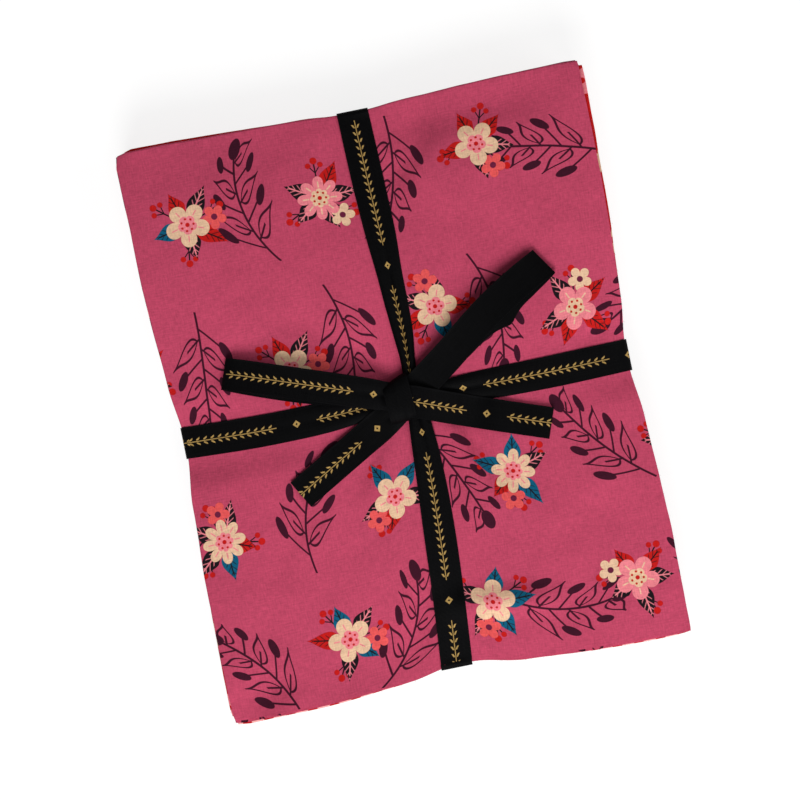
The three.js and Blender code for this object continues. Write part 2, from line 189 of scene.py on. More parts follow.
def noise(tree, x, y, z=0.0):
    """Soft noise from about -1 to 1, with features about one unit across."""
    sockets = {"Vector": vector(tree, x, y, z), "Scale": 1.0, "Detail": 2.0}
    return add_node(tree, "ShaderNodeTexNoise", sockets, normalize=False)


# How far the ribbon presses the top down and lifts the underside, and draws the edges in.
TOP_DROP = {"crossing": 4.0 * MM, "middle": 2.5 * MM, "edge": 6.0 * MM}
UNDER_LIFT = {"crossing": 1.35 * MM, "middle": 1.35 * MM, "edge": 2.6 * MM}
DRAWN_IN = {"left": 4.4 * MM, "right": 3.1 * MM, "back": 2.7 * MM, "front": 5.9 * MM}
SET_IN = {"left": 0.2 * MM, "right": 1.5 * MM, "back": -0.9 * MM, "front": -1.3 * MM}
TAPER = 0.9 * MM  # how much further out each side lies at the back, and further in at the front
STILL_LOOSE = 0.35  # share of a piece's untidiness that is left under the ribbon
WAVER, WAVER_LENGTH = 0.5 * MM, 38 * MM

# The ribbon's pull and its press fade away from it in two steps: where each starts and ends, and its share.
PULL_FADE = ((3 * MM, 30 * MM, 0.45), (6 * MM, 88 * MM, 0.55))
PRESS_FADE = ((8.5 * MM, 24 * MM, 0.5), (9 * MM, 72 * MM, 0.5))
PRESS_BLEND = 0.8 * MM  # how softly the two bands' presses run together
CROSSING_END, EDGE_START = 0.45, 0.5  # shares of the way from the crossing to the pile's edge

# The soft valleys that the pull of the ribbon leaves in the cloth, and the swells between them, which have a
# depth below nothing, in millimetres.
CREASES = [
    # from x, y, to x, y, half width, depth
    (20, -10, 44, -60, 9, 4.6),
    (30, -6, 62, -56, 18, 1.2),
    (56, -86, 104, -66, 12, 0.8),
    (0, -107, 56, -113, 11, -3.8),
    (6, -122, 62, -128, 26, -1.6),
    (-104, -144, -26, -144, 16, -1.6),
    (-9, 10, -46, 46, 11, 2.2),
    (-12, -15, -36, -46, 9, 2.2),
    (15, 8, 38, 24, 9, 1.4),
    (-8, -94, -22, -132, 9, 1.8),
    (-84, -120, -112, -142, 16, 1.8),
    (12, 100, 42, 128, 11, 1.4),
    (4, 128, 100, 132, 16, 2.0),
    (-96, 136, -20, 136, 20, 1.4),
    (86, 6, 112, 16, 8, 1.2),
]

CREASE_START, CREASE_END = (-0.15, 0.3), (0.55, 1.2)  # shares of a crease over which it comes and goes

# How far the cloth rolls down along its edges, and how far it slopes down to its back edge and its sides.
SIDE_ROLL = {"reach": 0.035, "drawn": 0.6, "free": 0.5}
END_ROLL = {"reach": 0.03, "drawn": 0.4, "free": 0.4, "front": 0.1}
BACK_SLOPE, BACK_SLOPE_START = 3.0 * MM, 96 * MM
BACK_CORNER = (74 * MM, 110 * MM, 0.5)  # from where to where the back slope eases, and the share it loses
SIDE_SLOPE, SIDE_SLOPE_START = 0.9 * MM, 84 * MM
BESIDE_RIBBON = (8 * MM, 32 * MM)  # over which the slopes set in

# The puffs and the fine wrinkles of loose cloth, which the ribbon smooths out.
PUFF, PUFF_LENGTH, PUFF_SEED = 1.3 * MM, 46 * MM, 3.0
WRINKLE, WRINKLE_LENGTH, WRINKLE_SEED = 0.28 * MM, 15 * MM, 8.0
SMOOTHED = (9 * MM, 26 * MM)
TOP_SINK = 0.4 * MM  # how far the pile's top lies under its full height

# How far the corners are blunted where the folds meet, and left sharp where the cut edges meet.
CORNERS = [
    # share of the width, share of the length from the back, depth
    (0, 0, 1.0 * MM),
    (1, 0, 0.3 * MM),
    (0, 1, 0.6 * MM),
    (1, 1, 0.2 * MM),
]
CORNER_REACH = 5 * MM

fold_tree, given, result = new_tree(
    "Folded fat quarter",
    "GeometryNodeTree",
    [
        ("Columns", "Int", 60),
        ("Rows", "Int", 76),
        ("Side Fold Share", "Float", 0.1),
        ("Back Fold Share", "Float", 0.1),
        ("Level", "Float", 0.0),
        ("Left", "Float", 0.0),
        ("Right", "Float", 0.0),
        ("Back", "Float", 0.0),
        ("Front", "Float", 0.0),
        ("Under", "Float", 0.0),
        ("Turn", "Float", 0.0),
        ("Seed", "Float", 0.0),
        ("Cloth", "Material"),
    ],
    [("Geometry", "Geometry")],
)
grid_sockets = {"Size X": 2.0, "Size Y": 2.0, "Vertices X": given["Columns"], "Vertices Y": given["Rows"]}
grid = add_node(fold_tree, "GeometryNodeMeshGrid", grid_sockets)
across, along = parts(add_node(fold_tree, "GeometryNodeInputPosition"))


def progress(value, share, length):
    """How far a line of the cloth is through a fold, from -1 to 1, its share of the way from the fold to the
    raw edge, and its place on the flat cut."""
    turned = add_node(value.tree, "ShaderNodeClamp", (value, share * -1, share))
    beyond = (value - turned) / (1 - share)
    through = turned / share
    arc = math.pi / 2 * LAYER_PITCH
    return through, abs(beyond), through * arc + beyond * (length - arc)


def fade(off_ribbon, near, far):
    """Falls from one beside the ribbon to nothing away from it, in two steps."""
    near_share, far_share = (rise(off_ribbon, start, end, share, 0.0) for start, end, share in (near, far))
    return near_share + far_share


side_turn, from_side, flat_x = progress(across, given["Side Fold Share"], CUT_WIDTH / 2)
back_turn, from_back, flat_y = progress(along, given["Back Fold Share"], CUT_LENGTH / 2)
even_x = blend(from_side, -HALF_WIDTH, HALF_WIDTH)
even_y = blend(from_back, HALF_LENGTH, -HALF_LENGTH)

# The outline: its edges are drawn in by the ribbon, waver a little, and lie as untidily as hands leave them.
drawn_x = fade(abs(even_y - RIBBON_Y), *PULL_FADE)
drawn_y = fade(abs(even_x - RIBBON_X), *PULL_FADE)
loose_x = drawn_x * (STILL_LOOSE - 1) + 1
loose_y = drawn_y * (STILL_LOOSE - 1) + 1
lower_x = rise(side_turn, -FOLD_MIDDLE, FOLD_MIDDLE, given["Under"], 0.0)
lower_y = rise(back_turn, -FOLD_MIDDLE, FOLD_MIDDLE, given["Under"], 0.0)
waver = [
    noise(fold_tree, even_x / WAVER_LENGTH, even_y / WAVER_LENGTH, given["Seed"] + 10 * edge) * WAVER
    for edge in range(4)
]
turn_x, turn_y = given["Turn"] * even_y, given["Turn"] * even_x * -1
tapered = even_y * (TAPER / HALF_LENGTH) + HALF_WIDTH
left = drawn_x * DRAWN_IN["left"] + SET_IN["left"] - tapered
right = tapered - SET_IN["right"] - drawn_x * DRAWN_IN["right"]
back = drawn_y * -DRAWN_IN["back"] - SET_IN["back"] + HALF_LENGTH
front = drawn_y * DRAWN_IN["front"] + SET_IN["front"] - HALF_LENGTH
left = left + loose_x * (turn_x - given["Left"] + waver[0])
right = right + loose_x * (turn_x + given["Right"] + lower_x + waver[1])
back = back + loose_y * (turn_y + given["Back"] + waver[2])
front = front + loose_y * (turn_y - given["Front"] - lower_y + waver[3])
plan_x, plan_y = blend(from_side, left, right), blend(from_back, back, front)
for at_x, at_y, depth in CORNERS:
    near_x = rise(abs(from_side - at_x), 0.0, CORNER_REACH / (2 * HALF_WIDTH), depth, 0.0)
    near_y = rise(abs(from_back - at_y), 0.0, CORNER_REACH / (2 * HALF_LENGTH), 1.0, 0.0)
    plan_x = plan_x + near_x * near_y * (1 - 2 * at_x)
    plan_y = plan_y + near_x * near_y * (2 * at_y - 1)

# The layers go round the first fold in pairs, and then each pair goes round the second.
side_bend, back_bend = (side_turn + 1) * (math.pi / 2), (back_turn + 1) * (math.pi / 2)
side_radius = LAYER_PITCH / 2
in_stack = side_bend.math("COSINE") * -side_radius + side_radius
back_radius = 1.5 * LAYER_PITCH - in_stack
folded_x = plan_x - side_bend.math("SINE") * side_radius
folded_y = plan_y + back_bend.math("SINE") * back_radius
level = given["Level"] + CLOTH / 2 + 1.5 * LAYER_PITCH - back_radius * back_bend.math("COSINE")


def pressed(off_line, on_line, half, amounts):
    """How deep the ribbon presses, by the distance off its middle line and along it from the crossing."""
    depth = rise(on_line, 0.0, CROSSING_END * half, amounts["crossing"], amounts["middle"])
    depth = depth + rise(on_line, EDGE_START * half, half, 0.0, amounts["edge"] - amounts["middle"])
    return depth * fade(off_line, *PRESS_FADE)


away_x, away_y = abs(folded_x - RIBBON_X), abs(folded_y - RIBBON_Y)
along_length, along_width = (away_x, away_y, HALF_LENGTH), (away_y, away_x, HALF_WIDTH)
drop = pressed(*along_length, TOP_DROP)
drop = drop.math("SMOOTH_MAX", pressed(*along_width, TOP_DROP), PRESS_BLEND)
lift = pressed(*along_length, UNDER_LIFT) | pressed(*along_width, UNDER_LIFT)
for start_x, start_y, end_x, end_y, half_width, depth in CREASES:
    run = Vector((end_x - start_x, end_y - start_y)) * MM
    unit = run.normalized()
    rel_x, rel_y = folded_x - start_x * MM, folded_y - start_y * MM
    on_run = (rel_x * unit.x + rel_y * unit.y) / run.length
    off_run = abs(rel_x * unit.y - rel_y * unit.x)
    ends = rise(on_run, *CREASE_START) * rise(on_run, *CREASE_END, 1.0, 0.0)
    drop = drop + ends * rise(off_run, 0.0, half_width * MM, depth * MM, 0.0)


def rolled(share, drawn, roll):
    """How far an edge rolls down, by the share of the way across the cloth and how far it is drawn in."""
    at_edge = rise(share & (1 - share), 0.0, roll["reach"], 1.0, 0.0)
    return at_edge * (drawn * roll["drawn"] * MM + roll["free"] * MM)


to_front = rise(from_back, 0.3, 0.7, 1.0, END_ROLL["front"])
drop = drop + rolled(from_side, drawn_x, SIDE_ROLL) + rolled(from_back, drawn_y, END_ROLL) * to_front
back_slope = rise(folded_y, BACK_SLOPE_START, HALF_LENGTH, 0.0, BACK_SLOPE)
ease_start, ease_end, eased = BACK_CORNER
set_in = rise(away_x, *BESIDE_RIBBON) - rise(folded_x, ease_start, ease_end, 0.0, eased)
drop = drop + back_slope * set_in
side_slope = rise(abs(even_x), SIDE_SLOPE_START, HALF_WIDTH, 0.0, SIDE_SLOPE)
drop = drop + side_slope * rise(away_y, *BESIDE_RIBBON)
puffs = noise(fold_tree, folded_x / PUFF_LENGTH, folded_y / PUFF_LENGTH, PUFF_SEED)
wrinkles = noise(fold_tree, folded_x / WRINKLE_LENGTH, folded_y / WRINKLE_LENGTH, WRINKLE_SEED)
uneven = puffs * PUFF + wrinkles * WRINKLE
top = PILE_HEIGHT - TOP_SINK - drop + uneven * rise(away_x & away_y, *SMOOTHED)
height = blend(level / PILE_HEIGHT, lift, top)

flat_place = vector(fold_tree, flat_x, flat_y, 0.0)
store = {"Geometry": grid, "Name": "UVMap", "Value": flat_place}
mapped = add_node(
    fold_tree, "GeometryNodeStoreNamedAttribute", store, data_type="FLOAT2", domain="CORNER"
)
place = vector(fold_tree, folded_x + PILE_X, folded_y + PILE_Y, height)
placed = add_node(fold_tree, "GeometryNodeSetPosition", {"Geometry": mapped, "Position": place})
smooth = add_node(fold_tree, "GeometryNodeSetShadeSmooth", {"Geometry": placed})
realised = add_node(fold_tree, "GeometryNodeRealizeInstances", {"Geometry": smooth})
dressed = add_node(
    fold_tree, "GeometryNodeSetMaterial", {"Geometry": realised, "Material": given["Cloth"]}
)
give(result, {"Geometry": dressed})

# Short threads that have worked loose from the raw edges. They stand on the rim's faces, which are those at
# the limit of the flat cut, and none goes through the floor.
RIM, OFF_FLOOR = 0.1 * MM, 0.05 * MM
THREAD_BEND = {"Start": (0, 0, -0.1), "Middle": (0, 0.1, 0.6), "End": (0.25, 0.55, 0.95)}  # over its length
THREAD_LEAN, SHORTEST_THREAD = 0.5, 0.35
thread_tree, given, result = new_tree(
    "Loose threads",
    "GeometryNodeTree",
    [
        ("Geometry", "Geometry"),
        ("Threads Per Square Metre", "Float", 1.0),
        ("Thread Length", "Float", 2.5 * MM),
        ("Thread Radius", "Float", 0.06 * MM),
        ("Seed", "Int", 0),
        ("Cloth", "Material"),
    ],
    [("Geometry", "Geometry")],
)
flat_u, flat_v = parts(
    add_node(thread_tree, "GeometryNodeInputNamedAttribute", {"Name": "UVMap"}, data_type="FLOAT_VECTOR")
)
on_rim = (abs(flat_u).math("GREATER_THAN", CUT_WIDTH / 2 - RIM)) | (
    abs(flat_v).math("GREATER_THAN", CUT_LENGTH / 2 - RIM)
)
scattered = add_node(
    thread_tree,
    "GeometryNodeDistributePointsOnFaces",
    {
        "Mesh": given["Geometry"],
        "Selection": on_rim,
        "Density": given["Threads Per Square Metre"],
        "Seed": given["Seed"],
    },
)
bent = add_node(thread_tree, "GeometryNodeCurveQuadraticBezier", {"Resolution": 3, **THREAD_BEND})
stretched = add_node(
    thread_tree,
    "GeometryNodeTransform",
    {"Geometry": bent, "Scale": vector(thread_tree, *[given["Thread Length"]] * 3)},
)
profile = add_node(
    thread_tree, "GeometryNodeCurvePrimitiveCircle", {"Resolution": 3, "Radius": given["Thread Radius"]}
)
thread = add_node(
    thread_tree, "GeometryNodeCurveToMesh", {"Curve": stretched, "Profile Curve": profile, "Fill Caps": True}
)
twist = add_node(
    thread_tree,
    "FunctionNodeRandomValue",
    {
        "Min": (-THREAD_LEAN, -THREAD_LEAN, -math.pi),
        "Max": (THREAD_LEAN, THREAD_LEAN, math.pi),
        "Seed": given["Seed"],
    },
    data_type="FLOAT_VECTOR",
)
turned = add_node(
    thread_tree,
    "FunctionNodeRotateRotation",
    {"Rotation": scattered.out("Rotation"), "Rotate By": twist},
    rotation_space="LOCAL",
)
sizes = add_node(
    thread_tree,
    "FunctionNodeRandomValue",
    {"Min": (SHORTEST_THREAD,) * 3, "Max": (1.0,) * 3, "Seed": given["Seed"]},
    data_type="FLOAT_VECTOR",
)
threads = add_node(
    thread_tree,
    "GeometryNodeInstanceOnPoints",
    {"Points": scattered, "Instance": thread, "Rotation": turned, "Scale": sizes},
)
both = add_node(thread_tree, "GeometryNodeJoinGeometry", {"Geometry": given["Geometry"]})
thread_tree.links.new(threads.socket, both.socket.node.inputs["Geometry"])
loose_ends = add_node(thread_tree, "GeometryNodeRealizeInstances", {"Geometry": both})
x, y = parts(add_node(thread_tree, "GeometryNodeInputPosition"))
off_floor = vector(thread_tree, x, y, x.out("Z") | OFF_FLOOR)
placed = add_node(thread_tree, "GeometryNodeSetPosition", {"Geometry": loose_ends, "Position": off_floor})
dressed = add_node(
    thread_tree, "GeometryNodeSetMaterial", {"Geometry": placed, "Material": given["Cloth"]}
)
give(result, {"Geometry": dressed})

# The cotton's plain weave: threads thicken here and there along their length, which mottles the colour.
# Places and sizes are in millimetres.
SLUB_WIDTH, SLUB_LENGTH, PATCH_SIZE = 0.7, 3.6, 24
PATCH_SHARE, SLUB_HEIGHT = 0.4, 0.6
weave_group, given, result = new_tree(
    "Plain weave",
    "ShaderNodeTree",
    [("Place", "Vector"), ("Thread Pitch", "Float", 0.36), ("Slub", "Float", 0.15)],
    [("Shade", "Float"), ("Height", "Float")],
)
x, y = parts(given["Place"])
warp_slub = noise(weave_group, x / SLUB_WIDTH, y / SLUB_LENGTH)
weft_slub = noise(weave_group, x / SLUB_LENGTH, y / SLUB_WIDTH, 5.0)
patchy = noise(weave_group, x / PATCH_SIZE, y / PATCH_SIZE, 9.0)
shade = 1 + given["Slub"] * (warp_slub + weft_slub + patchy * PATCH_SHARE)
per_thread = given["Thread Pitch"] / math.tau
over_under = (x / per_thread).math("SINE") * (y / per_thread).math("SINE")
give(result, {"Shade": shade, "Height": over_under * 0.5 + (warp_slub + weft_slub) * SLUB_HEIGHT})


def cells(place, size, seed):
    """Splits the plane into brick-like cells: the place from the cell's middle, and random numbers for it."""
    tree = place.tree
    x, y = parts(place)
    row_place = y / size
    row = row_place.math("FLOOR")
    column_place = x / size + row * 0.5
    column = column_place.math("FLOOR")
    random = add_node(
        tree, "ShaderNodeTexWhiteNoise", {"Vector": vector(tree, column, row, seed)}, noise_dimensions="3D"
    )
    first, second = parts(random.out("Color"))
    middle = vector(tree, (column_place - column - 0.5) * size, (row_place - row - 0.5) * size, 0.0)
    return middle, first, second, first.out("Z"), random


def stray(middle, first, second, reach):
    """Moves a cell's middle by up to reach either way."""
    x, y = parts(middle)
    return vector(middle.tree, x + (first - 0.5) * (2 * reach), y + (second - 0.5) * (2 * reach), 0.0)


def turn(place, angle):
    return add_node(
        place.tree, "ShaderNodeVectorRotate", {"Vector": place, "Angle": angle}, rotation_type="Z_AXIS"
    )


EDGE = 0.14  # softness of the edge of the ink, in millimetres


def inked(depth):
    """The share of ink where depth says how far inside a figure a place is, in millimetres."""
    return rise(depth, -EDGE, EDGE)


def length_of(arrow):
    return add_node(arrow.tree, "ShaderNodeVectorMath", (arrow,), operation="LENGTH").out("Value")


def scaled(arrow, scale):
    return add_node(arrow.tree, "ShaderNodeVectorMath", {0: arrow, "Scale": scale}, operation="SCALE")


def shifted(arrow, shift):
    return add_node(arrow.tree, "ShaderNodeVectorMath", (arrow, shift), operation="ADD")


def near(place, x, y, radius):
    """How far inside a disc a place is."""
    there = add_node(
        place.tree, "ShaderNodeVectorMath", {0: place, 1: (x, y, 0.0)}, operation="DISTANCE"
    ).out("Value")
    return radius - there


def polar(place):
    x, y = parts(place)
    return length_of(place), y.math("ARCTAN2", x)


def blossom(place, petals, radius, waist):
    """How far inside a flower of round petals a place is, and how far off the nearest petal's middle line and
    the flower's middle."""
    distance, angle = polar(place)
    swing = angle * petals * 0.5
    outline = abs(swing.math("COSINE")).math("POWER", 0.55) * (radius * (1 - waist)) + radius * waist
    return outline - distance, abs(swing.math("SINE")) * distance * 2 / petals, distance


LEAF_BELLY = 6.75  # brings the widest place of a leaf's outline, a third of the way along, to its width


def leaf_depth(along, off, length, width):
    """How far inside a leaf with its belly near the stalk a place is."""
    share = add_node(along.tree, "ShaderNodeClamp", (along / length,))
    rest = 1 - share
    return share * rest * rest * (LEAF_BELLY * width) - abs(off) - EDGE


# The plain patterns of the lower fat quarters: dots, stripes, checks, scattered leaves and blossoms. Their
# figures' sizes are shares of the pitch, and how far they stray is in millimetres.
DOT_RADIUS, STRIPE_HALF, CHECK_HALF = 0.22, 0.22, 0.25
LEAF_LENGTH, LEAF_WIDTH, LEAF_STRAY = 0.72, 0.15, 2.0
BLOSSOM_RADIUS, BLOSSOM_STRAY, BLOSSOM_EYE = 0.36, 2.5, 1.6
pattern_groups = {}


def figures(name):
    """Starts the group of a small printed pattern: places in millimetres in, the figures' masks out."""
    group, given, result = new_tree(
        name,
        "ShaderNodeTree",
        [("Place", "Vector"), ("Pitch", "Float", 12.0)],
        [("Figure", "Float"), ("Other Figure", "Float")],
    )
    pattern_groups[name] = group
    return given["Place"], given["Pitch"], result


def give_either(result, figure, other):
    """Prints a figure in one colour or the other."""
    give(result, {"Figure": figure * (1 - other), "Other Figure": figure * other})


def stripes(way, pitch, half):
    return inked(pitch * half - abs((way / pitch).math("FRACT") - 0.5) * pitch)


place, pitch, result = figures("Dots")
middle, first, *_ = cells(place, pitch, 1.0)
give_either(result, inked(near(middle, 0, 0, pitch * DOT_RADIUS)), first.math("GREATER_THAN", 0.5))

place, pitch, result = figures("Stripes")
stripe = stripes(parts(place)[0], pitch, STRIPE_HALF)
give(result, {"Figure": stripe, "Other Figure": stripe * 0})

place, pitch, result = figures("Checks")
one_way, other_way = (stripes(way, pitch, CHECK_HALF) for way in parts(place))
give(result, {"Figure": one_way * 0.5 + other_way * 0.5, "Other Figure": one_way * 0})

place, pitch, result = figures("Leaves")
middle, first, second, third, random = cells(place, pitch, 2.0)
x, y = parts(turn(stray(middle, first, second, LEAF_STRAY), third * math.tau))
leaf = inked(leaf_depth(x + pitch * (LEAF_LENGTH / 2), y, pitch * LEAF_LENGTH, pitch * LEAF_WIDTH))
give_either(result, leaf, random.math("GREATER_THAN", 0.55))

place, pitch, result = figures("Blossoms")
middle, first, second, third, random = cells(place, pitch, 3.0)
own = turn(stray(middle, first, second, BLOSSOM_STRAY), third * math.tau)
depth, off_petal, distance = blossom(own, 5, pitch * BLOSSOM_RADIUS, 0.5)
give_either(result, inked(depth) * (1 - inked(BLOSSOM_EYE - distance)), random.math("GREATER_THAN", 0.5))

# The top print's sprigs: a blossom of five or eight petals on a ring of leaves, with berries and a small
# second flower. One sprig stands in each cell, turned and moved at random. Sizes are in millimetres.
sprig_group, given, result = new_tree(
    "Flower sprigs",
    "ShaderNodeTree",
    [("Place", "Vector"), ("Pitch", "Float", 74.0), ("Seed", "Float", 4.0)],
    [("Color", "Color"), ("Ink", "Float")],
)
SPRIG_REACH = 9.0
LEAVES, LEAF_START, SHORTEST_LEAF, LONGER_BY, LEAF_HALF = 5, 4.0, 13, 6, 4.4
VEIN, VEIN_PITCH, VEIN_REACH, VEIN_SLANT, SIDE_VEIN = 0.34, 3.2, 2.6, 1.3, 0.22
MIDRIB_END = (0.72, 0.8)  # shares of the leaf's length over which its middle vein ends
DARK_BELOW, RED_ABOVE = 0.45, 0.76  # of the random number that picks a leaf's colour
middle, first, second, third, random = cells(given["Place"], given["Pitch"], given["Seed"])
own = turn(stray(middle, first, second, SPRIG_REACH), third * math.tau)
distance, angle = polar(own)


def painted(under, ink, colour):
    """Lays a colour over what is under it."""
    return add_node(
        under.tree, "ShaderNodeMix", {0: ink, 6: under, 7: colour}, data_type="RGBA", clamp_factor=True
    )


def either(tree, choice, one, other):
    return add_node(tree, "ShaderNodeMix", {0: choice, 6: one, 7: other}, data_type="RGBA")


sector = (angle * (LEAVES / math.tau) + 0.5).math("FLOOR")
ring_seed = vector(sprig_group, sector.math("WRAP", LEAVES, 0.0), random * 97, given["Seed"])
ring = add_node(sprig_group, "ShaderNodeTexWhiteNoise", {"Vector": ring_seed}, noise_dimensions="3D")
leaf_choice, leaf_size = parts(ring.out("Color"))
leaf_angle = angle - sector * (math.tau / LEAVES) + (ring - 0.5) * 0.5
leaf_along = distance * leaf_angle.math("COSINE") - LEAF_START
leaf_off = distance * leaf_angle.math("SINE")
leaf_length = leaf_size * LONGER_BY + SHORTEST_LEAF
leaf = inked(leaf_depth(leaf_along, leaf_off, leaf_length, LEAF_HALF))
midrib = inked(VEIN - abs(leaf_off)) * rise(leaf_along / leaf_length, *MIDRIB_END, 1.0, 0.0)
slanted = (leaf_along - abs(leaf_off) * VEIN_SLANT) / VEIN_PITCH
side_veins = inked(SIDE_VEIN - abs(slanted.math("FRACT") - 0.5) * 2.0) * inked(VEIN_REACH - abs(leaf_off))
dark_leaf = leaf_choice.math("LESS_THAN", DARK_BELOW)
leaf_colour = either(sprig_group, leaf_choice.math("GREATER_THAN", RED_ABOVE), TEAL, RED)
leaf_colour = painted(leaf_colour, dark_leaf, INK)
vein_colour = either(sprig_group, dark_leaf, INK, PINK)

BERRY_ARMS, BERRY_TURN, STALK, STALK_END = 3, 0.55, 0.36, 17.5
FORK_START, FORK_END, FORK_SLOPE = 12.5, 15.8, 0.75
END_BERRY, SIDE_BERRY = (18.6, 0, 1.7), (16.4, 3.0, 1.35)  # out along the arm, off it, radius
berry_angle = angle.math("WRAP", BERRY_TURN + math.tau / BERRY_ARMS, BERRY_TURN)
berry_angle = berry_angle - BERRY_TURN - math.pi / BERRY_ARMS
berry_along = distance * berry_angle.math("COSINE")
berry_off = distance * berry_angle.math("SINE")
stalks = inked(STALK - abs(berry_off)) * inked(STALK_END - berry_along)
fork = abs(berry_off) - (berry_along - FORK_START) * FORK_SLOPE
forks = inked(VEIN - abs(fork)) * inked(FORK_END - berry_along) * inked(berry_along - (FORK_START - 0.1))
stalks = stalks | forks
berry_place = vector(sprig_group, berry_along, abs(berry_off), 0.0)
berries = inked(near(berry_place, *END_BERRY) | near(berry_place, *SIDE_BERRY))

FLOWER, HEART, EYE = 10.8, 4.7, 1.05
FLOWER_WAIST, HEART_WAIST, SECOND_WAIST = 0.5, 0.72, 0.45  # how far in the gaps between petals reach
CREAM_BELOW, CREAM_ABOVE = 0.3, 0.82  # of the random number that picks a flower's colour
STREAK, STREAK_START, STREAK_END = 0.3, 5.2, 8.2
PIPS, PIP, PIP_RING = 7, 0.55, 3.0
petals = random.math("GREATER_THAN", 0.5) * 3 + 5
depth, off_petal, _ = blossom(own, petals, FLOWER, FLOWER_WAIST)
flower = inked(depth)
streak = inked(STREAK - off_petal) * inked(distance - STREAK_START) * inked(STREAK_END - distance)
heart_depth, *_ = blossom(own, petals, HEART, HEART_WAIST)
heart = inked(heart_depth)
off_pip = abs((angle * (PIPS / 2)).math("SINE")) * distance / (PIPS / 2)
pips = inked(PIP - length_of(vector(sprig_group, distance - PIP_RING, off_pip, 0.0)))
eye = inked(EYE - distance)
cream_flower = random.math("LESS_THAN", CREAM_BELOW) | random.math("GREATER_THAN", CREAM_ABOVE)
flower_colour = either(sprig_group, cream_flower, PINK, CREAM)
heart_colour = either(sprig_group, cream_flower, CREAM, PINK)

SECOND_AT, SECOND_FLOWER, SECOND_HEART = (9.6, -9.4), 6.0, 1.5
CORAL = paint(226, 84, 84)
moved = add_node(
    sprig_group, "ShaderNodeVectorMath", {0: own, 1: (*SECOND_AT, 0.0)}, operation="SUBTRACT"
)
second_depth, *_ = blossom(moved, 5, SECOND_FLOWER, SECOND_WAIST)
second_flower = inked(second_depth)
second_colour = either(sprig_group, cream_flower, CREAM, CORAL)
second_heart = inked(near(own, *SECOND_AT, SECOND_HEART))

colour = either(sprig_group, berries, INK, RED)
colour = painted(colour, leaf, leaf_colour)
colour = painted(colour, leaf * (midrib | side_veins * 0.8), vein_colour)
colour = painted(colour, second_flower, second_colour)
colour = painted(colour, second_heart, WINE)
colour = painted(colour, flower, flower_colour)
colour = painted(colour, streak, heart_colour)
colour = painted(colour, heart, heart_colour)
colour = painted(colour, pips | eye, RED)
give(result, {"Color": colour, "Ink": stalks | berries | leaf | second_flower | flower})

# Its sprays: a bent stem drawn in one dark line, with outlined leaves and closed dark buds on either side.
# Sizes are in millimetres, before the spray is scaled.
spray_group, given, result = new_tree(
    "Budded sprays",
    "ShaderNodeTree",
    [("Place", "Vector"), ("Pitch", "Float", 74.0), ("Seed", "Float", 6.0)],
    [("Ink", "Float")],
)
SPRAY_REACH, SPRAY_SCALE, SPRAY_BEND, BEND_LENGTH, SPRAY_HALF = 1.5, 1.04, 16, 28, 21
STEM_START, STEM_END, LINE, THICKER_STEM = -29, 24, 0.46, 0.06
BRANCH_PITCH, BRANCH_SLOPE, FIRST_ROOT, LAST_ROOT, TWIG_END = 9.4, math.radians(49), -22, 19, 12.5
BRANCH_BEND = 0.012  # how much a branch bends back, for each millimetre off the stem
LONGEST_ROOT, SHORTER_BY = -20, 0.011  # where branches are at full size, and how they shorten towards the tip
BUD_AT, BUD_LENGTH, BUD_WIDTH = 15.4, 3.9, 2.7
END_BUD_AT, END_BUD_LENGTH, END_BUD_WIDTH = 27.6, 4.6, 2.9
OUTLINED_START, OUTLINED_LENGTH, OUTLINED_HALF = 1.5, 18.0, 3.1
OUTLINE_START, OUTLINE_END, LEAF_RIB_END = 1.2, 19.6, 9
middle, first, second, third, random = cells(given["Place"], given["Pitch"], given["Seed"])
own = scaled(turn(stray(middle, first, second, SPRAY_REACH), third * math.tau), 1 / SPRAY_SCALE)
x, y = parts(own)
bent = y + (x / BEND_LENGTH).math("POWER", 2.0) * ((random - 0.5) * SPRAY_BEND)
side = bent.math("SIGN")
off_stem = abs(bent)
rooted = x + side * (BRANCH_PITCH / 4) - off_stem / math.tan(BRANCH_SLOPE)
rooted = rooted - off_stem * off_stem * BRANCH_BEND
number = (rooted / BRANCH_PITCH + 0.5).math("FLOOR")
root = number * BRANCH_PITCH
across = (rooted - root) * math.sin(BRANCH_SLOPE)
out = off_stem / math.sin(BRANCH_SLOPE) / (1 - (root - LONGEST_ROOT) * SHORTER_BY)
budded = (number * 0.5 + side * 0.25 + 0.25).math("FRACT").math("GREATER_THAN", 0.3)
grows = inked(root - FIRST_ROOT) * inked(LAST_ROOT - root)
twig = inked(LINE - abs(across)) * inked(TWIG_END - out)
bud_place = vector(spray_group, (out - BUD_AT) / BUD_LENGTH, across / BUD_WIDTH, 0.0)
bud = inked((1 - length_of(bud_place)) * BUD_WIDTH)
leaf_edge = leaf_depth(out - OUTLINED_START, across, OUTLINED_LENGTH, OUTLINED_HALF)
outline = inked(LINE - abs(leaf_edge)) * inked(OUTLINE_END - out) * inked(out - OUTLINE_START)
outline = outline | inked(LINE - abs(across)) * inked(LEAF_RIB_END - out)
twigs = grows * (budded * (twig | bud) + (1 - budded) * outline)
stem = inked(LINE + THICKER_STEM - off_stem) * inked(STEM_END - x) * inked(x - STEM_START)
end_place = vector(spray_group, (x - END_BUD_AT) / END_BUD_LENGTH, bent / END_BUD_WIDTH, 0.0)
end_bud = inked((1 - length_of(end_place)) * END_BUD_WIDTH)
give(result, {"Ink": twigs * inked(SPRAY_HALF - off_stem) | stem | end_bud})


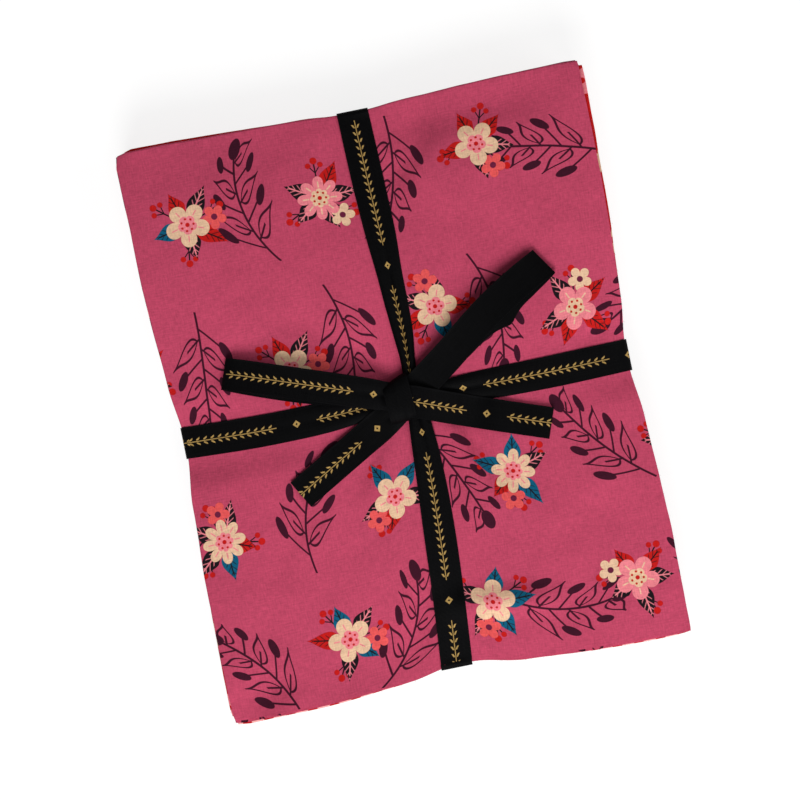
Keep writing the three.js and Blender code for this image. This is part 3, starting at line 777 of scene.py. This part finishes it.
def woven_material(name, weave_tree, scale, strength, relief, looks, colour_at):
    """A woven material: the colours for the places on its flat cut, shaded and raised by its weave."""
    material = bpy.data.materials.new(name)
    material.use_nodes = True
    tree = material.node_tree
    shader = tree.nodes["Principled BSDF"]
    place = scaled(add_node(tree, "ShaderNodeUVMap", uv_map="UVMap"), scale)
    weave = add_node(tree, "ShaderNodeGroup", {"Place": place}, node_tree=weave_tree)
    shaded = scaled(colour_at(tree, place), weave.out("Shade"))
    bump_sockets = {"Strength": strength, "Distance": relief, "Height": weave.out("Height")}
    give(shader, {"Base Color": shaded, "Normal": add_node(tree, "ShaderNodeBump", bump_sockets)})
    for socket, value in looks.items():
        shader.inputs[socket].default_value = value
    return material


def plain(tree, colour):
    rgb = add_node(tree, "ShaderNodeRGB")
    rgb.socket.default_value = colour
    return rgb


# Where the print lies on the top cloth, and its sprays between its sprigs, in millimetres.
PRINT_SHIFT, SPRAY_SHIFT = (-20, 0, 0), (37, 0, 0)
WEAVE_STRENGTH, WEAVE_RELIEF = 0.6, 0.07 * MM
COTTON = {"Roughness": 0.9, "Specular IOR Level": 0.15, "Sheen Weight": 0.05, "Sheen Roughness": 0.4}


def cloth_material(number, ground, figure, other_figure, pattern, pitch):
    """One printed cotton. Its pattern lies on the flat cut, so it goes round the folds as the cloth does."""

    def garden(tree, place):
        place = shifted(place, PRINT_SHIFT)
        spray_place = shifted(place, SPRAY_SHIFT)
        sprays = add_node(tree, "ShaderNodeGroup", {"Place": spray_place}, node_tree=spray_group)
        sprigs = add_node(tree, "ShaderNodeGroup", {"Place": place, "Pitch": pitch}, node_tree=sprig_group)
        colour = painted(plain(tree, ground), sprays, AUBERGINE)
        return painted(colour, sprigs.out("Ink"), sprigs)

    def small_print(tree, place):
        sockets = {"Place": place, "Pitch": pitch}
        masks = add_node(tree, "ShaderNodeGroup", sockets, node_tree=pattern_groups[pattern])
        return painted(either(tree, masks, ground, figure), masks.out("Other Figure"), other_figure)

    name = f"cotton_{number:02d}_{pattern.lower()}"
    colour_at = garden if pattern == "Garden" else small_print
    return woven_material(name, weave_group, -1 / MM, WEAVE_STRENGTH, WEAVE_RELIEF, COTTON, colour_at)


def grow(piece, tree, values):
    """Gives a piece a Geometry Nodes modifier, with the tree's inputs set by their names."""
    modifier = piece.modifiers.new(tree.name, "NODES")
    modifier.node_group = tree
    for item in tree.interface.items_tree:
        if item.in_out == "INPUT" and item.name in values:
            modifier[item.identifier] = values[item.name]


CRISP_FROM = math.radians(60)


def settle(piece):
    """Makes a piece's modifiers part of its mesh. Its cut edges stay crisp and its folds round."""
    evaluated = piece.evaluated_get(bpy.context.evaluated_depsgraph_get())
    mesh = bpy.data.meshes.new_from_object(evaluated)
    mesh.set_sharp_from_angle(angle=CRISP_FROM)
    piece.modifiers.clear()
    piece.data = mesh
    mesh.name = piece.name


def new_piece(name, mesh=None):
    piece = bpy.data.objects.new(name, mesh or bpy.data.meshes.new(name))
    bpy.context.scene.collection.objects.link(piece)
    return piece


ARC = math.pi / 2 * LAYER_PITCH
TOP_STEP, SECOND_STEP, LOWER_STEP = 2.5 * MM, 4 * MM, 6 * MM  # the sizes of the faces, finest where they show
LOOSE_THREADS, THREAD_LENGTH, THREAD_RADIUS = 60_000.0, 1.4 * MM, 0.05 * MM
for number, row in enumerate(FAT_QUARTERS, start=1):
    left, right, back, front, under, turned, slot, *print_values = row
    from_top = len(FAT_QUARTERS) - number
    step = (TOP_STEP, SECOND_STEP)[from_top] if from_top < 2 else LOWER_STEP
    half_columns = FOLD_STEPS + math.ceil((CUT_WIDTH / 2 - ARC) / step)
    half_rows = FOLD_STEPS + math.ceil((CUT_LENGTH / 2 - ARC) / step)
    material = cloth_material(number, *print_values)
    piece = new_piece(f"cloth_{number:02d}")
    fold_values = {
        "Columns": 2 * half_columns + 1,
        "Rows": 2 * half_rows + 1,
        "Side Fold Share": FOLD_STEPS / half_columns,
        "Back Fold Share": FOLD_STEPS / half_rows,
        "Level": (number - 1) * PIECE_PITCH,
        "Left": left * MM,
        "Right": right * MM,
        "Back": back * MM,
        "Front": front * MM,
        "Under": under * MM,
        "Turn": turned * MM,
        "Seed": float(number),
        "Cloth": material,
    }
    grow(piece, fold_tree, fold_values)
    thicken = piece.modifiers.new("Cloth thickness", "SOLIDIFY")
    thicken.thickness, thicken.offset = CLOTH, 0.0
    thread_values = {
        "Threads Per Square Metre": LOOSE_THREADS,
        "Thread Length": THREAD_LENGTH,
        "Thread Radius": THREAD_RADIUS,
        "Seed": number,
        "Cloth": material,
    }
    grow(piece, thread_tree, thread_values)
    settle(piece)
    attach(piece, "root")
    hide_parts(f"fat_quarter_{number:02d}")
top_cloth = piece

# ---------------------------------------------------------------------------------------------------------
# The ribbon: one black woven ribbon with a metallic printed mark. Two bands of it go round the pile, cross
# under it and tie over it in a bow with two flat loops and two square-cut ends, held by the knot's wrap.
FULL = 15.5  # the ribbon's width in the tables below, which are in millimetres
RIBBON_WIDTH, RIBBON_LENGTH, RIBBON_THICK = FULL * MM, 1.70, 0.42 * MM
HALF_RIBBON = RIBBON_WIDTH / 2
CLEAR, BETWEEN = 0.3 * MM, 0.1 * MM  # from the cloth to the ribbon's middle surface, and between two turns
ACROSS = np.linspace(-1, 1, 13)
PLEATS, PLEAT_DEPTH, PLEAT_ROUNDING = 2, 0.42, 0.8
SHOULDER_RADIUS, FOOT_RADIUS = 2.2 * MM, 1.6 * MM
BELOW, CROSSING_RISE, CROSSING_REACH = 0.35 * MM, 0.55 * MM, 16 * MM
BAND_SPACING, BOW_SPACING = 3.0, 2.2  # from row to row of the ribbon's faces, in millimetres


def spline(rows, spacing, columns):
    """Runs a smooth curve through rows of numbers, in even steps of the distance in their first columns."""
    rows = np.array(rows, dtype=float)
    knots = np.concatenate(([0], np.cumsum(np.linalg.norm(np.diff(rows[:, :columns], axis=0), axis=1))))
    slopes = np.gradient(rows, knots, axis=0)
    samples = np.linspace(0, knots[-1], max(2, round(knots[-1] / spacing)) + 1)
    cell = np.clip(np.searchsorted(knots, samples, side="right") - 1, 0, len(knots) - 2)
    span = knots[cell + 1] - knots[cell]
    share = ((samples - knots[cell]) / span)[:, None]
    span = span[:, None]
    before, after = rows[cell], rows[cell + 1]
    return (
        before * (2 * share**3 - 3 * share**2 + 1)
        + slopes[cell] * span * (share**3 - 2 * share**2 + share)
        + after * (3 * share**2 - 2 * share**3)
        + slopes[cell + 1] * span * (share**3 - share**2)
    )


def surface_of(points, faces):
    return BVHTree.FromPolygons([tuple(point) for point in points], [tuple(face) for face in faces])


def height_at(x, y, *surfaces):
    """The height of the highest surface at a place, or far below the floor where it is off them all."""
    hits = (surface.ray_cast(Vector((x, y, 1.0)), Vector((0, 0, -1)))[0] for surface in surfaces)
    return max((hit.z for hit in hits if hit), default=-1.0)


class Strips:
    """The middle surface of the ribbon, gathered strip by strip as rows of points across its width."""

    def __init__(self):
        self.points, self.faces, self.uvs = [], [], []

    def add(self, rows, start, closed=False, flipped=False):
        rows = np.array(rows)
        first, width = len(self.points), rows.shape[1]
        self.points.extend(rows.reshape(-1, 3))
        middle = rows[:, width // 2]
        lengths = np.linalg.norm(np.diff(middle, axis=0, append=middle[:1]), axis=1)
        at = start + np.concatenate(([0], np.cumsum(lengths)))
        count = len(rows)
        for row in range(count if closed else count - 1):
            for column in range(width - 1):
                here, there = first + row * width + column, first + (row + 1) % count * width + column
                corners = [here, here + 1, there + 1, there]
                across = [(ACROSS[column + step] + 1) / 2 * RIBBON_WIDTH for step in (0, 1, 1, 0)]
                uvs = list(zip([at[row], at[row], at[row + 1], at[row + 1]], across))
                if flipped:
                    corners.reverse()
                    uvs = [(u, RIBBON_WIDTH - v) for u, v in reversed(uvs)]
                self.faces.append(corners)
                self.uvs.extend(uvs)

    def mesh(self, name):
        mesh = bpy.data.meshes.new(name)
        mesh.from_pydata([tuple(point) for point in self.points], [], self.faces)
        layer = mesh.uv_layers.new(name="UVMap")
        layer.data.foreach_set("uv", np.array(self.uvs).ravel())
        mesh.shade_smooth()
        return mesh


def pleats(width):
    """How far each point across the ribbon lifts where it is gathered to less than its width."""
    slack = max(0.0, (RIBBON_WIDTH / width) ** 2 - 1) ** 0.5
    depth = PLEAT_DEPTH * slack * width / (2 * PLEATS)
    return depth * np.abs(np.sin(math.pi * PLEATS * (ACROSS + 1) / 2)) ** PLEAT_ROUNDING


ribbon = Strips()
cloth_points = [vertex.co for vertex in top_cloth.data.vertices]
cloth_surface = surface_of(cloth_points, [face.vertices for face in top_cloth.data.polygons])

# Each band goes round the pile along one axis: its two ends at the pile's edges with their places across,
# and its rows over the top with the place across, the width and the lift over the cloth, in millimetres.
BANDS = [
    {
        "axis": 0,
        "from": (-HALF_WIDTH / MM + 3.4, -3.3),
        "to": (HALF_WIDTH / MM - 3.0, -4.0),
        "under": 0.0,
        "rows": [
            # along, across, width, lift
            (-68, -4.9, FULL, 0),
            (-36, -4.6, 14.5, 0),
            (-10, -3.6, 10, 1.2),
            (0, -3.5, 9, 1.8),
            (14, -3.4, 10, 1.2),
            (36, -4.2, 14, 0),
            (68, -4.6, FULL, 0),
        ],
        "mark_start": 0.020,
    },
    {
        "axis": 1,
        "from": (-HALF_LENGTH / MM + 2.7, -1.6),
        "to": (HALF_LENGTH / MM, 2.2),
        "under": 1.0,
        "rows": [
            (-96, 1.6, FULL, 0),
            (-72, 3, FULL, 0),
            (-44, 4.2, 14, 0),
            (-16, 4.4, 10.5, 1.0),
            (-4, 4.2, 7.5, 1.6),
            (8, 4.4, 6.6, 1.4),
            (16, 4.7, 7.0, 0.8),
            (26, 5, 9.2, 0.3),
            (46, 4.6, 11.4, 0),
            (58, 4.3, 12.2, 0),
            (77, 3.9, 14.6, 0),
            (98, 3.2, FULL, 0),
        ],
        "mark_start": 0.043,
    },
]


def band_point(axis, along, across, height):
    flat = (along + PILE_X, across + PILE_Y) if axis == 0 else (across + PILE_X, along + PILE_Y)
    return (*flat, height)


def corner_rows(at, across, height, first_angle, last_angle, radius):
    """Rows round one rounded corner of a band, whose middle is at a place and height."""
    return [
        [
            (at + radius * math.cos(angle), across + share * HALF_RIBBON, height + radius * math.sin(angle))
            for share in ACROSS
        ]
        for angle in np.linspace(first_angle, last_angle, 6)
    ]


def side_rows(at, across, first_height, last_height):
    """Rows up or down one side of the pile."""
    heights = [first_height * (1 - share) + last_height * share for share in (0.2, 0.4, 0.6, 0.8)]
    return [[(at, across + place * HALF_RIBBON, height) for place in ACROSS] for height in heights]


QUARTER = math.pi / 2
for band in BANDS:
    axis, (start, start_across), (end, end_across) = band["axis"], band["from"], band["to"]
    rows = [(start, start_across, FULL, 0), *band["rows"], (end, end_across, FULL, 0)]
    start, start_across, end, end_across = start * MM, start_across * MM, end * MM, end_across * MM
    turn_start, turn_end = start + SHOULDER_RADIUS, end - SHOULDER_RADIUS
    over = []
    for along, across, width, lifted in spline(rows, BAND_SPACING, 2) * MM:
        if turn_start < along < turn_end:
            cross = []
            for share, pleat in zip(ACROSS, pleats(width)):
                place = across + share * width / 2
                x, y, _ = band_point(axis, along, place, 0)
                cross.append((along, place, height_at(x, y, cloth_surface) + CLEAR + lifted + pleat))
            over.append(cross)
    start_shoulder, end_shoulder = (
        max(height for *_, height in cross) - SHOULDER_RADIUS for cross in (over[0], over[-1])
    )
    foot = BELOW + FOOT_RADIUS
    under = []
    for share in np.linspace(0.02, 0.98, 40):
        along = (end - FOOT_RADIUS) * (1 - share) + (start + FOOT_RADIUS) * share
        across = end_across * (1 - share) + start_across * share
        lifted = band["under"] * CROSSING_RISE * max(0.0, 1 - abs(along - RIBBON_Y) / CROSSING_REACH)
        under.append([(along, across + place * HALF_RIBBON, BELOW + lifted) for place in ACROSS])
    belt = [
        *over,
        *corner_rows(turn_end, end_across, end_shoulder, QUARTER, 0, SHOULDER_RADIUS),
        *side_rows(end, end_across, end_shoulder, foot),
        *corner_rows(end - FOOT_RADIUS, end_across, foot, 0, -QUARTER, FOOT_RADIUS),
        *under,
        *corner_rows(start + FOOT_RADIUS, start_across, foot, -QUARTER, -2 * QUARTER, FOOT_RADIUS),
        *side_rows(start, start_across, foot, start_shoulder),
        *corner_rows(turn_start, start_across, start_shoulder, 2 * QUARTER, QUARTER, SHOULDER_RADIUS),
    ]
    placed = [[band_point(axis, *point) for point in cross] for cross in belt]
    ribbon.add(placed, band["mark_start"], closed=True, flipped=axis == 0)

# The bow's loops, each from the knot out and back under itself, and the knot that holds them.
KNOT_X, KNOT_Y = 0.2 * MM, -3.6 * MM
LOOPS = [
    # turn, where the mark starts, whether the marked face is outside, rows of out, over, drift and width
    (
        160.5,
        0.058,
        True,
        [(1, 4.6, 0, 12), (9, 5.6, 0, 13.6), (18, 8.0, 0, 14.8), (38, 10.8, 0, 15.4), (62, 11.0, 0, FULL),
         (80, 8.8, 0, FULL), (87.6, 6.8, 0.2, FULL), (89.6, 5.0, 0.4, FULL), (87.6, 3.3, 0.6, FULL),
         (70, 2.0, 1.4, FULL), (40, 2.2, 1.2, 15), (16, 2.4, 0, 12), (4, 2.4, 0, 9)],
    ),
    (
        33.5,
        0.0,
        False,
        [(1, 3.4, 0, 15), (9, 4.2, 0, FULL), (17, 6.2, 0.1, FULL), (29, 9.2, 0.5, FULL),
         (42, 11.4, 1.5, FULL), (53, 12.0, 2.2, FULL), (66, 11.4, 2.3, FULL), (80, 9.4, 1.6, FULL),
         (92.4, 6.9, 0.3, FULL), (94.8, 5.5, 0, FULL), (92.6, 3.9, -0.2, FULL), (80, 2.4, -0.3, FULL),
         (70, 2.0, -0.5, FULL), (65.5, 2.0, -1.6, FULL), (62, 2.0, -2.7, FULL), (58.5, 2.0, -1.4, FULL),
         (54, 2.0, -0.2, 15), (34, 2.0, 0.2, 14), (18, 2.0, 0.4, 10.5), (4, 2.2, 0, 8)],
    ),
]
CUP = 0.5 * MM  # how far the loops' selvedges turn up
knot_height = height_at(KNOT_X + PILE_X, KNOT_Y + PILE_Y, cloth_surface)
band_surface = surface_of(ribbon.points, ribbon.faces)


def height_over_bands(x, y):
    """The lowest that a turn of ribbon can lie over the cloth and the bands."""
    return height_at(x, y, cloth_surface, band_surface) + RIBBON_THICK + BETWEEN


for turn, mark_start, marked_outside, rows in LOOPS:
    heading = math.radians(turn)
    forward, aside = (math.cos(heading), math.sin(heading)), (-math.sin(heading), math.cos(heading))
    placed = []
    for out, over, drift, width in spline(rows, BOW_SPACING, 2):
        lifts = pleats(width * MM) + (ACROSS**2 * 0.35 - 0.2) * CUP
        cross = []
        for share, extra in zip(ACROSS, lifts):
            across = (drift + share * width / 2) * MM
            x = KNOT_X + PILE_X + out * MM * forward[0] + across * aside[0]
            y = KNOT_Y + PILE_Y + out * MM * forward[1] + across * aside[1]
            cross.append((x, y, max(height_over_bands(x, y), knot_height + over * MM + extra)))
        placed.append(cross)
    ribbon.add(placed, mark_start, flipped=marked_outside)

# The two ends, which lie on the cloth and over the bands, and start over the knot's middle.
TAIL_LIFT, KNOT_REACH = 0.5, 8
TAILS = [
    # where the mark starts, rows of x, y, lift and width
    (0.030, [(-3, -3.4, 5.8, 13), (1, -4.8, 6.2, 15.3), (9, -7.7, 5.9, FULL), (18, -11.2, 3.2, FULL),
             (28, -15, 0.9, FULL), (46, -21.6, 0.4, FULL), (67.1, -29.2, 0.5, FULL)]),
    (0.052, [(2, -4.0, 3.4, 11), (-3, -7.0, 3.4, 13), (-13, -12.8, 1.8, FULL), (-26, -20.2, 0.5, FULL),
             (-42, -29.2, 0.6, FULL), (-59.3, -39, 0.5, FULL)]),
]
for mark_start, rows in TAILS:
    path = spline(rows, BOW_SPACING, 2)
    heading = np.gradient(path[:, :2], axis=0)
    aside = np.stack([-heading[:, 1], heading[:, 0]], axis=1) / np.linalg.norm(heading, axis=1)[:, None]
    placed = []
    for (x, y, lifted, width), (aside_x, aside_y) in zip(path, aside):
        offs = [share * width / 2 for share in ACROSS]
        places = [((x + off * aside_x) * MM + PILE_X, (y + off * aside_y) * MM + PILE_Y) for off in offs]
        in_knot = math.hypot(x, y) < KNOT_REACH
        base = knot_height if in_knot else max(height_at(*place, cloth_surface) for place in places)
        lowest = base + CLEAR + (lifted + TAIL_LIFT) * MM
        placed.append([
            (*place, max(lowest + extra, height_over_bands(*place)))
            for place, extra in zip(places, pleats(width * MM))
        ])
    ribbon.add(placed, mark_start, flipped=True)

# The knot's own wrap goes over the roots of the loops and down into the crossing.
KNOT = {
    "x": -3.4, "y": -3.6, "heading": -87, "half_width": 6.5, "half_length": 10.6, "height": 9.4,
    "mark_start": 0.066,
}
TOP_SKEW = 2.6  # how much further the wrap reaches on its right side, where it comes up from behind
FLAT_ENDS, FLAT_TOP = 0.7, 0.4  # the powers that square the wrap's arch
PAST_LEVEL = 0.08  # the angle by which each end of the arch goes on past level
SAG, RIDGE, ENDS_IN = 1.1 * MM, 0.25 * MM, 0.06  # its selvedges' drop, its fine ridges, its selvedges' draw
heading = math.radians(KNOT["heading"])
wrap = []
for angle in np.linspace(-PAST_LEVEL, math.pi + PAST_LEVEL, 25):
    out = KNOT["half_length"] * MM * math.copysign(abs(math.cos(angle)) ** FLAT_ENDS, math.cos(angle))
    over = KNOT["height"] * MM * math.copysign(abs(math.sin(angle)) ** FLAT_TOP, math.sin(angle))
    cross = []
    for share in ACROSS:
        across = share * KNOT["half_width"] * MM
        sag = SAG * abs(share) ** 3.2 * max(0.0, math.sin(angle)) - RIDGE * math.cos(7 * share)
        reach = out * (1 - ENDS_IN * abs(share) ** 3)
        if out < 0:
            reach *= 1 + share * TOP_SKEW / KNOT["half_length"]
        cross.append((
            KNOT["x"] * MM + PILE_X + reach * math.cos(heading) - across * math.sin(heading),
            KNOT["y"] * MM + PILE_Y + reach * math.sin(heading) + across * math.cos(heading),
            knot_height + over - sag,
        ))
    wrap.append(cross)
ribbon.add(wrap, KNOT["mark_start"], flipped=True)

# Its cloth: fine ribs across, a firmer selvedge along each side, which is raised and painted lighter as a
# highlight along the edges, and marks in a metallic ink on one face.
# Each mark is a stalk with a row of leaves on both its sides, and a small open diamond closes each repeat.
MARK_REPEAT, MARK_PITCH, MARKED = 83.0, 3.6, 64.0
MARK_LEAF, MARK_LEAF_WIDTH, MARK_STALK = 3.0, 0.62, 0.2
DIAMOND, DIAMOND_HOLE = 1.9, 0.6
SELVEDGE_FROM, SELVEDGE_TO = 6.9, 7.2  # from the ribbon's middle
RIB_STRENGTH, RIB_RELIEF = 0.5, 0.1 * MM
SATIN = {"Roughness": 0.55, "Specular IOR Level": 0.03}
GOLD = paint(172, 140, 82)
BLACK = paint(8, 8, 9)
rib_group, given, result = new_tree(
    "Ribbon weave",
    "ShaderNodeTree",
    [("Place", "Vector"), ("Rib Pitch", "Float", 0.62)],
    [("Shade", "Float"), ("Height", "Float")],
)
x, y = parts(given["Place"])
ribs = abs((x / given["Rib Pitch"] * math.pi).math("SINE"))
# The selvedges stand up in the relief, and their colour is painted lighter: a painted highlight along the
# ribbon's edges.
selvedge_and_highlight = rise(abs(y - FULL / 2), SELVEDGE_FROM, SELVEDGE_TO)
uneven = noise(rib_group, x / 0.5, y / 6) + noise(rib_group, x / 14, y / 0.4, 4.0)
give(result, {"Shade": 1 + uneven * 0.25 + selvedge_and_highlight * 0.25, "Height": ribs + uneven * 0.4 + selvedge_and_highlight})

mark_group, given, result = new_tree(
    "Woven marks",
    "ShaderNodeTree",
    [("Place", "Vector"), ("Repeat", "Float", MARK_REPEAT), ("Pitch", "Float", MARK_PITCH)],
    [("Ink", "Float")],
)
x, y = parts(given["Place"])
off = abs(y - FULL / 2)
in_repeat = (x / given["Repeat"]).math("FRACT") * given["Repeat"]
rooted = in_repeat - off
number = (rooted / given["Pitch"]).math("FLOOR")
from_root = rooted - (number + 0.5) * given["Pitch"]
in_row = inked(MARKED / 2 - 2 - abs(in_repeat - MARKED / 2))
leaves = inked(
    leaf_depth(off * math.sqrt(2) - 0.5, from_root / math.sqrt(2), MARK_LEAF, MARK_LEAF_WIDTH)
)
stalk = inked(MARK_STALK - off) * inked(MARKED / 2 - 0.5 - abs(in_repeat - MARKED / 2))
from_diamond = abs(in_repeat - (MARKED + MARK_REPEAT) / 2) + off
diamond = inked(DIAMOND - from_diamond) * (1 - inked(DIAMOND_HOLE - from_diamond))
give(result, {"Ink": in_row * leaves | stalk | diamond})


def marked_black(tree, place):
    marks = add_node(tree, "ShaderNodeGroup", {"Place": place}, node_tree=mark_group)
    return painted(plain(tree, BLACK), marks, GOLD)


def plain_black(tree, place):
    return plain(tree, BLACK)


bow = new_piece("bow_ribbon", ribbon.mesh("bow_ribbon"))
for name, colour_at in (("ribbon_marked_face", marked_black), ("ribbon_plain_face", plain_black)):
    face = woven_material(name, rib_group, 1 / MM, RIB_STRENGTH, RIB_RELIEF, SATIN, colour_at)
    bow.data.materials.append(face)
thicken = bow.modifiers.new("Ribbon thickness", "SOLIDIFY")
thicken.thickness, thicken.offset = RIBBON_THICK, 0.0
thicken.material_offset = thicken.material_offset_rim = 1
settle(bow)
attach(bow, "root")
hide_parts("ribbon")

# ---------------------------------------------------------------------------------------------------------
# A plain pale floor that glows a little, two soft round lamps, one before the pile and one at its right, and
# a camera straight above the pile.
FLOOR_SIZE, FLOOR_GREY, FLOOR_GLOW, SKY_LIGHT = 24, 0.25, 0.82, 0.18
bpy.ops.mesh.primitive_plane_add(size=FLOOR_SIZE)
floor = bpy.context.object
floor.name = "studio_floor"
floor_material = bpy.data.materials.new("studio_floor")
floor_material.use_nodes = True
floor_shader = floor_material.node_tree.nodes["Principled BSDF"]
for socket, value in (
    ("Base Color", (FLOOR_GREY, FLOOR_GREY, FLOOR_GREY, 1)),
    ("Roughness", 1.0),
    ("Specular IOR Level", 0.0),
    ("Emission Color", (1, 1, 1, 1)),
    ("Emission Strength", FLOOR_GLOW),
):
    floor_shader.inputs[socket].default_value = value
floor.data.materials.append(floor_material)

VIEW_X, VIEW_Y, VIEW_WIDTH = -3.42 * MM, -3.54 * MM, 388.8 * MM
VIEW_TURN = math.radians(-11.5)
LENS, SENSOR = 120.0, 36.0
camera_data = bpy.data.cameras.new("camera")
camera_data.lens, camera_data.sensor_width = LENS, SENSOR
camera = bpy.data.objects.new("camera", camera_data)
camera.location = (VIEW_X, VIEW_Y, PILE_HEIGHT + VIEW_WIDTH * LENS / SENSOR)
camera.rotation_euler = (0, 0, VIEW_TURN)
bpy.context.scene.collection.objects.link(camera)
bpy.context.scene.camera = camera

world = bpy.data.worlds.new("studio")
world.use_nodes = True
world.node_tree.nodes["Background"].inputs["Color"].default_value = (1, 1, 1, 1)
world.node_tree.nodes["Background"].inputs["Strength"].default_value = SKY_LIGHT
bpy.context.scene.world = world

LAMPS = [
    # x, y and z, how wide the lamp is, and its watts
    (-0.32, -1.5, 1.6, 1.4, 44.5),
    (1.6, -0.5, 1.4, 1.6, 18.0),
]
for x, y, z, size, watts in LAMPS:
    lamp_data = bpy.data.lights.new("soft_box", "AREA")
    lamp_data.shape, lamp_data.size, lamp_data.energy = "DISK", size, watts
    lamp = bpy.data.objects.new("soft_box", lamp_data)
    lamp.location = (x, y, z)
    lamp.rotation_euler = (-lamp.location).to_track_quat("-Z", "Y").to_euler()
    bpy.context.scene.collection.objects.link(lamp)
bpy.context.scene.view_settings.view_transform = "Standard"
